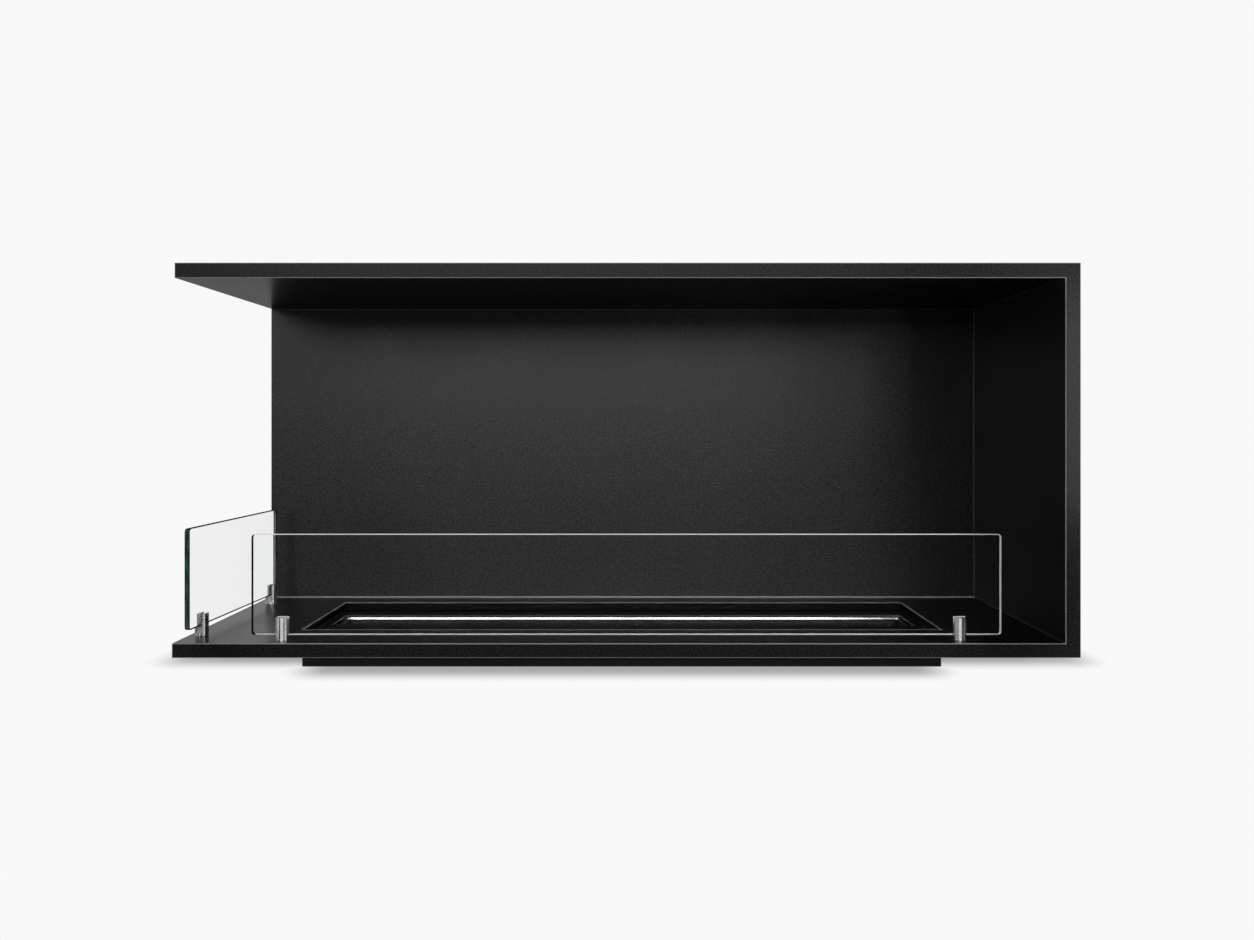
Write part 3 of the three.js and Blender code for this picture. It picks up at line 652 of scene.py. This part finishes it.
def grown(name, tree, values, points=()):
    """An object whose mesh is what the tree makes from the points."""
    seed_mesh = bpy.data.meshes.new(name)
    seed_mesh.from_pydata([tuple(p) for p in points], [], [])
    piece = bpy.data.objects.new(name, seed_mesh)
    bpy.context.scene.collection.objects.link(piece)
    modifier = piece.modifiers.new("tree", "NODES")
    modifier.node_group = tree
    sockets = {s.name: s.identifier for s in tree.interface.items_tree if s.in_out == "INPUT"}
    for label, value in values.items():
        modifier[sockets[label]] = value
    ready = piece.evaluated_get(bpy.context.evaluated_depsgraph_get())
    mesh = bpy.data.meshes.new_from_object(ready)
    piece.modifiers.remove(modifier)
    piece.data = mesh
    print(name, "faces:", len(mesh.polygons))
    return piece


# %% [markdown]
# ## The perforated plate
# A stainless plate with staggered round holes keeps the ceramic wool down in the tank. The tree fills an outline
# with a grid of circles cut out of it, and gives the sheet its thickness.

# %% Perforated plate
tree, given, made = new_tree("perforated_plate", [
    ("Length", "Float"), ("Width", "Float"), ("Thickness", "Float"), ("Hole", "Float"), ("Pitch", "Float"),
    ("Centre", "Vector"), ("Finish", "Material"),
])


def gmath(operation, *values):
    return add_node(tree, "ShaderNodeMath", dict(enumerate(values)), operation=operation).outputs[0]


ROW_STEP = 0.866
row_pitch = gmath("MULTIPLY", given["Pitch"], ROW_STEP)
columns = gmath("FLOOR", gmath("DIVIDE", given["Length"], given["Pitch"]))
rows = gmath("FLOOR", gmath("DIVIDE", given["Width"], row_pitch))
grid = add_node(tree, "GeometryNodeMeshGrid", {
    "Size X": gmath("MULTIPLY", gmath("SUBTRACT", columns, 2.0), given["Pitch"]),
    "Size Y": gmath("MULTIPLY", gmath("SUBTRACT", rows, 1.0), row_pitch),
    "Vertices X": gmath("SUBTRACT", columns, 1.0), "Vertices Y": rows,
})
position = add_node(tree, "GeometryNodeInputPosition").outputs[0]
across = add_node(tree, "ShaderNodeSeparateXYZ", {0: position}).outputs["Y"]
row = gmath("FLOOR", gmath("ADD", gmath("DIVIDE", across, row_pitch), 0.25))
side = gmath("SUBTRACT", gmath("MULTIPLY", gmath("FLOORED_MODULO", row, 2.0), 0.5), 0.25)
stagger = add_node(tree, "ShaderNodeCombineXYZ", {"X": gmath("MULTIPLY", side, given["Pitch"])})
places = add_node(tree, "GeometryNodeSetPosition", {
    "Geometry": grid.outputs["Mesh"], "Offset": stagger.outputs[0],
})
circle = add_node(tree, "GeometryNodeCurvePrimitiveCircle", {
    "Resolution": 12, "Radius": gmath("MULTIPLY", given["Hole"], 0.5),
})
holes = add_node(tree, "GeometryNodeInstanceOnPoints", {
    "Points": places.outputs["Geometry"], "Instance": circle.outputs["Curve"],
})
outline = add_node(tree, "GeometryNodeCurvePrimitiveQuadrilateral", {
    "Width": given["Length"], "Height": given["Width"],
})
loose = add_node(tree, "GeometryNodeRealizeInstances", {"Geometry": holes.outputs["Instances"]})
curves = joined(tree, loose.outputs["Geometry"], outline.outputs["Curve"])
sheet = add_node(tree, "GeometryNodeFillCurve", {"Curve": curves})
raised = add_node(tree, "GeometryNodeExtrudeMesh", {
    "Mesh": sheet.outputs["Mesh"], "Offset Scale": given["Thickness"], "Individual": False,
})
under = add_node(tree, "GeometryNodeFlipFaces", {"Mesh": sheet.outputs["Mesh"]})
whole = joined(tree, raised.outputs["Mesh"], under.outputs["Mesh"])
closed = add_node(tree, "GeometryNodeMergeByDistance", {"Geometry": whole, "Distance": 0.00001})
seated = add_node(tree, "GeometryNodeTransform", {
    "Geometry": closed.outputs["Geometry"], "Translation": given["Centre"],
})
finish_tree(tree, seated.outputs["Geometry"], made, given["Finish"])

low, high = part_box("retaining_mesh")
# The perforated plate takes the near-black stainless: painted shade.
plate = grown("perforated_plate", tree, {
    "Length": high.x - low.x, "Width": high.y - low.y, "Thickness": high.z - low.z,
    "Hole": 5.0 * MM, "Pitch": 8.0 * MM,
    "Centre": ((low.x + high.x) / 2, (low.y + high.y) / 2, low.z), "Finish": stainless_painted_shade,
})
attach(plate, "burner")
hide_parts("retaining_mesh")

# %% [markdown]
# ## Countersunk screws
# Hexagon-socket countersunk screws hold the back cover, the bottom cover and the tank. One screw is made from a
# cone, a shank and a hexagon taken out of its head, then placed on points and turned to face out of the sheet.
# Each socket stands at its own angle, as screws do, from a fixed seed.

# %% Countersunk screws
tree, given, made = new_tree("countersunk_screws", [
    ("Head", "Float"), ("Head depth", "Float"), ("Shank", "Float"), ("Length", "Float"), ("Socket", "Float"),
    ("Socket depth", "Float"), ("Facing", "Vector"), ("Seed", "Int"), ("Finish", "Material"),
])
cone = add_node(tree, "GeometryNodeMeshCone", {
    "Vertices": 40, "Radius Top": gmath("MULTIPLY", given["Head"], 0.5),
    "Radius Bottom": gmath("MULTIPLY", given["Shank"], 0.5), "Depth": given["Head depth"],
})
lowered = add_node(tree, "ShaderNodeCombineXYZ", {"Z": gmath("MULTIPLY", given["Head depth"], -1.0)})
head = add_node(tree, "GeometryNodeTransform", {
    "Geometry": cone.outputs["Mesh"], "Translation": lowered.outputs[0],
})
hexagon = add_node(tree, "GeometryNodeMeshCylinder", {
    "Vertices": 6, "Radius": gmath("MULTIPLY", given["Socket"], 0.5),
    "Depth": gmath("MULTIPLY", given["Socket depth"], 2.0),
})
socketed = add_node(tree, "GeometryNodeMeshBoolean", {
    "Mesh 1": head.outputs["Geometry"], "Mesh 2": hexagon.outputs["Mesh"],
}, operation="DIFFERENCE", solver="EXACT")
shank_length = gmath("SUBTRACT", given["Length"], given["Head depth"])
bar = add_node(tree, "GeometryNodeMeshCylinder", {
    "Vertices": 24, "Radius": gmath("MULTIPLY", given["Shank"], 0.499), "Depth": shank_length,
})
half_down = gmath("ADD", gmath("MULTIPLY", shank_length, -0.5), gmath("MULTIPLY", given["Head depth"], -1.0))
below_head = add_node(tree, "ShaderNodeCombineXYZ", {"Z": half_down})
shank = add_node(tree, "GeometryNodeTransform", {
    "Geometry": bar.outputs["Mesh"], "Translation": below_head.outputs[0],
})
screw = joined(tree, socketed.outputs["Mesh"], shank.outputs["Geometry"])
spots = add_node(tree, "GeometryNodeMeshToPoints", {"Mesh": given["Geometry"]})
stood = add_node(tree, "GeometryNodeInstanceOnPoints", {
    "Points": spots.outputs["Points"], "Instance": screw, "Rotation": given["Facing"],
})
any_turn = add_node(tree, "FunctionNodeRandomValue", {"Max": math.tau, "Seed": given["Seed"]}, data_type="FLOAT")
spin = add_node(tree, "ShaderNodeCombineXYZ", {"Z": any_turn.outputs["Value"]})
turned = add_node(tree, "GeometryNodeRotateInstances", {
    "Instances": stood.outputs["Instances"], "Rotation": spin.outputs[0], "Local Space": True,
})
finish_tree(tree, turned.outputs["Instances"], made, given["Finish"])


M4_SCREW = {
    "Head": 7.4 * MM, "Head depth": 1.7 * MM, "Shank": 4.0 * MM, "Socket": 2.8 * MM, "Socket depth": 1.0 * MM,
}


def screw_row(name, nodes, facing, end, length, body, seed):
    """Replaces a row of CAD screws. End picks the corner of each node's box that its head's face lies in."""
    places = []
    for node in nodes:
        low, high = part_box(node)
        middle = (low + high) / 2
        axis, side = end
        middle[AXES[axis]] = (low, high)[side][AXES[axis]]
        places.append(middle)
    row = grown(name, tree, {**M4_SCREW, "Length": length, "Facing": facing, "Seed": seed, "Finish": zinc}, places)
    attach(row, body)
    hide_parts(*nodes)


corners = ("front_left", "rear_left", "front_right", "rear_right")
screw_row("back_cover_screws", [f"back_cover_screw_{i}" for i in range(1, 7)],
          (-math.pi / 2, 0, 0), ("y", 1), 9 * MM, "casing", seed=4)
screw_row("bottom_cover_screws", [f"bottom_cover_screw_{i}" for i in range(1, 5)],
          (math.pi, 0, 0), ("z", 0), 9 * MM, "casing", seed=7)
screw_row("tank_screws", [f"tank_screw_{corner}" for corner in corners],
          (0, 0, 0), ("z", 1), 6 * MM, "burner", seed=2)

# %% [markdown]
# ## The ceramic wool
# The pad soaks up the fuel. It is a cut strip of matted fibre, so its faces are nearly flat but never even, and its
# edges are frayed round. A box of small squares is swollen a little by noise, less near its corners.

# %% The wool pad
low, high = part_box("ceramic_wool")
size = high - low
steps = [max(2, round(s / (4 * MM))) for s in size]
shape = new_shape()
bmesh.ops.create_cube(shape, size=1.0, matrix=Matrix.LocRotScale((low + high) / 2, None, size))
for axis in range(3):
    for i in range(1, steps[axis]):
        plane = low.copy()
        plane[axis] += size[axis] * i / steps[axis]
        normal = Vector([1.0 if k == axis else 0.0 for k in range(3)])
        bmesh.ops.bisect_plane(shape, geom=shape.verts[:] + shape.edges[:] + shape.faces[:],
                               plane_co=plane, plane_no=normal)
middle = (low + high) / 2
for vert in shape.verts:
    depth = [min(vert.co[k] - low[k], high[k] - vert.co[k]) for k in range(3)]
    near = sorted(depth)[1] / (6 * MM)
    inward = Vector([
        math.copysign(1.0, middle[k] - vert.co[k]) if depth[k] < 0.01 * MM else 0.0 for k in range(3)
    ])
    ragged = noise.fractal(vert.co * 90, 1.0, 2.0, 4) * 0.5 + 0.5
    vert.co += inward * MM * (0.15 + 1.1 * max(0.0, 1 - near) + 0.9 * max(0.0, min(1.0, ragged)))
pad = shown("wool_pad", shape, wool_white, "burner", "ceramic_wool", "ceramic_wool")
print("wool faces:", len(pad.data.polygons))

# %% [markdown]
# ## The clamps
# Each clamp is a short polished bar with a slot milled down into it for the pane, and its rims are chamfered. Its
# outline is a circle with the slot's four corners in it, so that every wall of the slot is one clean face and the
# rims can be bevelled.

# %% Clamps
def clamp_shape(centre, turn, low_z, high_z, slot_z, radius=7.5 * MM, half_slot=3.3 * MM, steps=18):
    """A slotted bar. The pane runs along the local X axis, which is turned about Z."""
    shape = new_shape()
    start = math.asin(half_slot / radius)
    cheek = [start + (math.pi - 2 * start) * i / (2 * steps) for i in range(2 * steps + 1)]
    mouth = [-start + 2 * start * i / 6 for i in range(1, 6)]
    order = ([("cheek", a) for a in cheek] + [("mouth", math.pi + a) for a in mouth]
             + [("other", a + math.pi) for a in cheek] + [("mouth", a) for a in mouth])

    def ring(z, kinds):
        return [(kind, shape.verts.new((radius * math.cos(a), radius * math.sin(a), z)))
                for kind, a in order if kind in kinds]

    everything = ("cheek", "mouth", "other")
    foot, shoulder = ring(low_z, everything), ring(slot_z, everything)
    count = len(order)
    shape.faces.new([v for _, v in reversed(foot)])
    for i in range(count):
        j = (i + 1) % count
        shape.faces.new((foot[i][1], foot[j][1], shoulder[j][1], shoulder[i][1]))
    for side in ("cheek", "other"):
        below = [v for kind, v in shoulder if kind == side]
        above = [v for _, v in ring(high_z, (side,))]
        for i in range(len(below) - 1):
            shape.faces.new((below[i], below[i + 1], above[i + 1], above[i]))
        shape.faces.new((below[-1], below[0], above[0], above[-1]))
        shape.faces.new(above)
    ends = [v for _, v in shoulder]
    cheek_count = len(cheek)
    shape.faces.new([ends[cheek_count - 1]] + ends[cheek_count:cheek_count + 6]
                    + [ends[2 * cheek_count + 4]] + ends[2 * cheek_count + 5:] + [ends[0]])
    bmesh.ops.recalc_face_normals(shape, faces=shape.faces)
    round_arrises(shape, 0.6 * MM, only=lambda e: in_plane(e, "z", high_z), steps=4)
    turning = shape.loops.layers.uv.new("turning")
    for face in shape.faces:
        for loop in face.loops:
            around = math.atan2(loop.vert.co.y, loop.vert.co.x)
            loop[turning].uv = (loop.vert.co.z * 20, around / math.tau + 0.5)
    bmesh.ops.transform(shape, matrix=Matrix.Translation((*centre, 0)) @ Matrix.Rotation(turn, 4, "Z"),
                        verts=shape.verts)
    return shape


slot_height = 3.5 * MM
toe_in = math.radians(1.9)
side_turn = math.pi / 2 - toe_in
for name, turn in [("front_left", 0.0), ("front_right", 0.0), ("side_front", side_turn), ("side_rear", side_turn)]:
    low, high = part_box(name + "_clamp")
    centre = ((low.x + high.x) / 2, (low.y + high.y) / 2)
    shape = clamp_shape(centre, turn, low.z, high.z, low.z + slot_height)
    faces = len(shape.faces)
    shown(name + "_holder", shape, polished_steel, "casing", "polished_steel", name + "_clamp")
    shape = merged_copy(name + "_clamp_pad")
    round_arrises(shape, 0.3 * MM)
    shown(name + "_pad", shape, silicone, "casing", "silicone", name + "_clamp_pad")
    print(name, "clamp faces:", faces)

# %% [markdown]
# ## The glass guards
# Each pane is 6 mm toughened glass with rounded corners and a ground arris. Its outline is drawn once, and four
# rings of it make both faces, the polished edge and the two arrises. The side pane stands a little toed in. A rule
# for each pane picks the finish of its edge from the place along it, and the black it picks is a painted dark
# reflection.

# %% Glass guards
def pane_outline(length, height, corner, inset, steps=8):
    points = []
    for cx, cz, first in [(length - corner, corner, -90), (length - corner, height - corner, 0),
                          (corner, height - corner, 90), (corner, corner, 180)]:
        for i in range(steps + 1):
            a = math.radians(first + 90 * i / steps)
            points.append((cx + (corner - inset) * math.cos(a), cz + (corner - inset) * math.sin(a)))
    return points


PANE_HEIGHT, PANE_LENGTH, PANE_CORNER = 113 * MM, 241 * MM, 4 * MM
GROUND, GREEN, PAINTED_DARK = 1, 2, 3


def glass_pane(name, node, body, start, along, length, edge_finish, thick=6 * MM, arris=0.5 * MM):
    """Edge_finish gives the material's number from a place along the pane, its height and whether it is arris."""
    along = Vector((*along, 0.0))
    across = Vector((-along.y, along.x, 0.0))
    shape = new_shape()
    mark = shape.faces.layers.float["arris"]
    rings = []
    for inset, t in [(arris, -thick / 2), (0.0, -thick / 2 + arris), (0.0, thick / 2 - arris), (arris, thick / 2)]:
        rings.append([shape.verts.new(Vector(start) + along * u + Vector((0, 0, w)) + across * t)
                      for u, w in pane_outline(length, PANE_HEIGHT, PANE_CORNER, inset)])
    outline = pane_outline(length, PANE_HEIGHT, PANE_CORNER, 0.0)
    for near, far, eased in [(rings[0], rings[1], 1.0), (rings[1], rings[2], 0.0), (rings[2], rings[3], 1.0)]:
        for i in range(len(near)):
            j = (i + 1) % len(near)
            side = shape.faces.new((near[i], near[j], far[j], far[i]))
            side[mark] = eased
            u, w = (outline[i][0] + outline[j][0]) / 2, (outline[i][1] + outline[j][1]) / 2
            side.material_index = edge_finish(u, w, eased)
    shape.faces.new(rings[0])
    shape.faces.new(rings[3])
    bmesh.ops.recalc_face_normals(shape, faces=shape.faces)
    piece = shown(name, shape, clear_glass, body, "clear_glass", node)
    for finish in (ground_edge, green_edge, edge_painted_as_dark_reflection):
        piece.data.materials.append(finish)
    low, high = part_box(node)
    own = [Vector(c) for c in piece.bound_box]
    off = max((own[0] - low).length, (own[6] - high).length)
    print(name, "corner to the CAD pane's corner, mm:", round(off / MM, 3))


# The front pane's left end and the underside of its polished edge are painted black: a painted dark reflection.
def front_edge(along, up, eased):
    return PAINTED_DARK if along < 3.5 * MM or up < 0.5 * MM and not eased else GROUND


# The side pane's edges are painted black, a painted dark reflection, except the ground arrises at its far end and
# the green near end.
def side_edge(along, up, eased):
    if eased:
        return GROUND if along > 238 * MM else PAINTED_DARK
    return GREEN if along < 1 * MM else PAINTED_DARK


low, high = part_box("front_glass")
glass_pane("front_guard", "front_glass", "front_pane", (low.x, (low.y + high.y) / 2, low.z), (1, 0), high.x - low.x,
           front_edge)
side_way = (math.sin(toe_in), math.cos(toe_in))
clamp_low, clamp_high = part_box("side_front_clamp")
clamp_at = (clamp_low + clamp_high) / 2
before_clamp = 34 * MM
side_start = (clamp_at.x - before_clamp * side_way[0], clamp_at.y - before_clamp * side_way[1],
              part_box("side_glass")[0].z)
glass_pane("side_guard", "side_glass", "side_pane", side_start, side_way, PANE_LENGTH, side_edge)

# %% [markdown]
# ## The pieces that keep their CAD mesh
# Linings that meet their neighbours flush on every side, the spacers inside the double walls, the trough's angles
# and the clamps' screws have the right shape already. They only need a finish.

# %% Finishes on CAD nodes
finishes = {"black_steel": casing_coat, "zinc_steel": zinc, "stainless": stainless}
slots = {part["node"]: part["material_slot"] for part in frame["record"]["subparts"]}
kept = 0
for node, piece in frame["nodes"].items():
    if slots[node] in finishes and not piece.hide_render:
        piece.data.materials.clear()
        # The right liner takes the lighter copy, which is painted light.
        piece.data.materials.append(right_wall_coat_painted_light if node == "right_liner" else finishes[slots[node]])
        kept += 1
print("CAD meshes kept:", kept)

# %% [markdown]
# ## The studio
# The photograph shows a pale floor without an edge, a soft shadow right under the box, and reflections of pale
# surroundings. The floor is a wide, evenly pale disc that meets the background without a line, with a painted
# shadow under the box in which the real shadow shows; in reflections it is dimmer, with painted dark and bright
# bands by the front clamps. The world is pale near the horizon, where the black coat, the steel and the glass mirror
# it, and dimmer overhead.

# %% Who looks at the surroundings
def lookers(tree):
    """Two masks: rays that come straight from the camera or through glass, and rays that a surface mirrors."""
    path = add_node(tree, "ShaderNodeLightPath").outputs
    mirrored_before = calculate(tree, "GREATER_THAN", path["Glossy Depth"], 0.5)
    not_before = calculate(tree, "SUBTRACT", 1.0, mirrored_before)
    through = path["Is Transmission Ray"]
    straight_through = calculate(tree, "MULTIPLY", through, not_before)
    mirrored_through = calculate(tree, "MULTIPLY", through, mirrored_before)
    return (calculate(tree, "MAXIMUM", path["Is Camera Ray"], straight_through),
            calculate(tree, "MAXIMUM", path["Is Glossy Ray"], mirrored_through))


# %% Floor
pale = 0.945
floor_material, tree = new_material("pale_floor")
straight, mirrored = lookers(tree)
spot = add_node(tree, "ShaderNodeSeparateXYZ", {0: add_node(tree, "ShaderNodeTexCoord").outputs["Object"]}).outputs


def beyond(centre, half):
    """How far a point of the floor lies outside a rectangle."""
    legs = []
    for name, c, h in zip("XY", centre, half):
        off = calculate(tree, "ABSOLUTE", calculate(tree, "SUBTRACT", spot[name], c))
        legs.append(calculate(tree, "MAXIMUM", calculate(tree, "SUBTRACT", off, h), 0.0))
    square = [calculate(tree, "MULTIPLY", leg, leg) for leg in legs]
    return calculate(tree, "SQRT", calculate(tree, "ADD", *square))


# The floor's shadow is painted: near two rectangles, one under the slab and one under the trough, its even white
# gives way to its lit grey, so it is darker there under any light, and the real shadow shows only in that part.
slab_painted_shadow_distance = beyond((0.0, 0.0), (0.525, 0.037))
trough_painted_shadow_distance = beyond((-0.006, 0.009), (0.338, 0.098))
nearest_painted_shadow = calculate(tree, "MINIMUM", slab_painted_shadow_distance, trough_painted_shadow_distance)
painted_shadow_fade = ramp(tree, nearest_painted_shadow, 0.0, 0.060, 0.4, 1.0, "SMOOTHSTEP")

# Painted reflections: to mirrored rays the floor is dimmer, with a painted dark band outwards of each front clamp,
# a painted bright band beyond it, and a painted pale glow towards the back.
clamp_x, clamp_y = 0.38, -0.128
outward = calculate(tree, "SUBTRACT", calculate(tree, "ABSOLUTE", spot["X"]), clamp_x)
forward = calculate(tree, "SUBTRACT", clamp_y, spot["Y"])
slant = calculate(tree, "DIVIDE", outward, calculate(tree, "MAXIMUM", forward, 0.001))
card = calculate(tree, "COMPARE", slant, 0.70, 0.235)
strip = calculate(tree, "MULTIPLY", calculate(tree, "COMPARE", slant, 2.0, 1.0), 0.6)
grey = calculate(tree, "SUBTRACT", 0.26, calculate(tree, "MULTIPLY", mirrored, 0.13))
outside_painted_dark_band = calculate(tree, "SUBTRACT", 1.0, calculate(tree, "MULTIPLY", mirrored, card))
lit = add_node(tree, "ShaderNodeBsdfDiffuse", {"Color": calculate(tree, "MULTIPLY", grey, outside_painted_dark_band)})
at_the_back = ramp(tree, spot["Y"], 0.2, 0.9, 0.0, 0.38, "SMOOTHSTEP")
painted_reflection_glow = calculate(tree, "MAXIMUM", strip, at_the_back)
looked_at = calculate(tree, "MAXIMUM", straight, calculate(tree, "MULTIPLY", mirrored, painted_reflection_glow))
even = add_node(tree, "ShaderNodeEmission", {"Color": (pale, pale, pale, 1), "Strength": 1.0})
finish_surface(tree, add_node(tree, "ShaderNodeMixShader", {
    0: calculate(tree, "MULTIPLY", looked_at, painted_shadow_fade), 1: lit.outputs[0], 2: even.outputs[0],
}).outputs[0])

shape = bmesh.new()
bmesh.ops.create_circle(shape, cap_ends=True, segments=96, radius=9.0)
floor_mesh = bpy.data.meshes.new("studio_floor")
shape.to_mesh(floor_mesh)
shape.free()
floor_mesh.materials.append(floor_material)
floor = bpy.data.objects.new("studio_floor", floor_mesh)
bpy.context.scene.collection.objects.link(floor)

# %% World
world = bpy.data.worlds.new("pale_studio")
bpy.context.scene.world = world
world.use_nodes = True
tree = world.node_tree
tree.nodes.clear()
straight, mirrored = lookers(tree)
way = add_node(tree, "ShaderNodeSeparateXYZ", {0: add_node(tree, "ShaderNodeTexCoord").outputs["Generated"]}).outputs
horizon = ramp(tree, way["Z"], 0.16, 0.40, 1.0, 0.0, "SMOOTHSTEP")
behind_object = ramp(tree, way["Y"], -0.75, -0.25, kind="SMOOTHSTEP")
glow = calculate(tree, "MULTIPLY", mirrored, calculate(tree, "MULTIPLY", horizon, behind_object))
aside = calculate(tree, "ABSOLUTE", way["X"])
in_front = calculate(tree, "MULTIPLY", mirrored, calculate(tree, "SUBTRACT", 1.0, behind_object))
card = calculate(tree, "MULTIPLY", in_front, calculate(tree, "COMPARE", aside, 0.55, 0.13))
strip = calculate(tree, "MULTIPLY", in_front, calculate(tree, "COMPARE", aside, 0.82, 0.13))
strength = calculate(tree, "SUBTRACT", calculate(tree, "MULTIPLY_ADD", strip, 2.4, 1.0), card)
plain = add_node(tree, "ShaderNodeBackground", {"Color": (0.30, 0.30, 0.30, 1), "Strength": strength})
white = add_node(tree, "ShaderNodeBackground", {"Color": (pale, pale, pale, 1), "Strength": 1.0})
mixed = add_node(tree, "ShaderNodeMixShader", {
    0: calculate(tree, "MAXIMUM", straight, glow), 1: plain.outputs[0], 2: white.outputs[0],
})
add_node(tree, "ShaderNodeOutputWorld", {"Surface": mixed.outputs[0]})

# %% [markdown]
# ## Lamps and flags
# Three softboxes light the box from above and from the front, and a narrow strip lights the right bar of the front
# band. Black flags take light away: one keeps the strip's light off the back wall, and two put a black line on the
# front clamps.

# %% Lamps
def softbox(name, place, target, width, height, radiance):
    """A soft rectangular lamp. Radiance is how bright its face looks, where 1 is white."""
    lamp = bpy.data.lights.new(name, "AREA")
    lamp.shape = "RECTANGLE"
    lamp.size, lamp.size_y = width, height
    lamp.energy = radiance * math.pi * width * height
    held = bpy.data.objects.new(name, lamp)
    held.location = place
    held.rotation_mode = "QUATERNION"
    held.rotation_quaternion = (Vector(target) - Vector(place)).to_track_quat("-Z", "Y")
    bpy.context.scene.collection.objects.link(held)
    print(name, "watts", round(lamp.energy, 1))


softbox("overhead_softbox", (0.0, -0.5, 2.6), (0, 0, 0.2), 2.6, 2.4, 1.0)
softbox("high_front_softbox", (0.15, -2.15, 1.72), (0, 0, 0.25), 2.3, 1.1, 3.0)
softbox("low_front_softbox", (-0.35, -3.3, 1.1), (0, 0, 0.3), 3.0, 0.9, 3.2)
softbox("right_front_strip", (0.70, -0.60, 0.335), (0.49, -0.15, 0.335), 0.14, 0.36, 6.8)

# %% Black flags
flag_material, tree = new_material("black_flag")
finish_surface(tree, add_node(tree, "ShaderNodeBsdfDiffuse", {"Color": (0.01, 0.01, 0.01, 1)}).outputs[0])


def black_flag(name, x_low, x_high, y, z_low, z_high):
    """An upright black card that only mirrored rays and shadow rays meet."""
    mesh = bpy.data.meshes.new(name)
    corners = [(x_low, y, z_low), (x_high, y, z_low), (x_high, y, z_high), (x_low, y, z_high)]
    mesh.from_pydata(corners, [], [(0, 1, 2, 3)])
    mesh.materials.append(flag_material)
    flag = bpy.data.objects.new(name, mesh)
    flag.visible_camera = flag.visible_diffuse = flag.visible_transmission = False
    bpy.context.scene.collection.objects.link(flag)


black_flag("mouth_flag", 0.39, 0.484, -0.157, 0.048, 0.442)
black_flag("left_clamp_flag", -0.482, -0.430, -0.2275, 0.03, 0.25)
black_flag("right_clamp_flag", 0.418, 0.470, -0.2275, 0.03, 0.25)
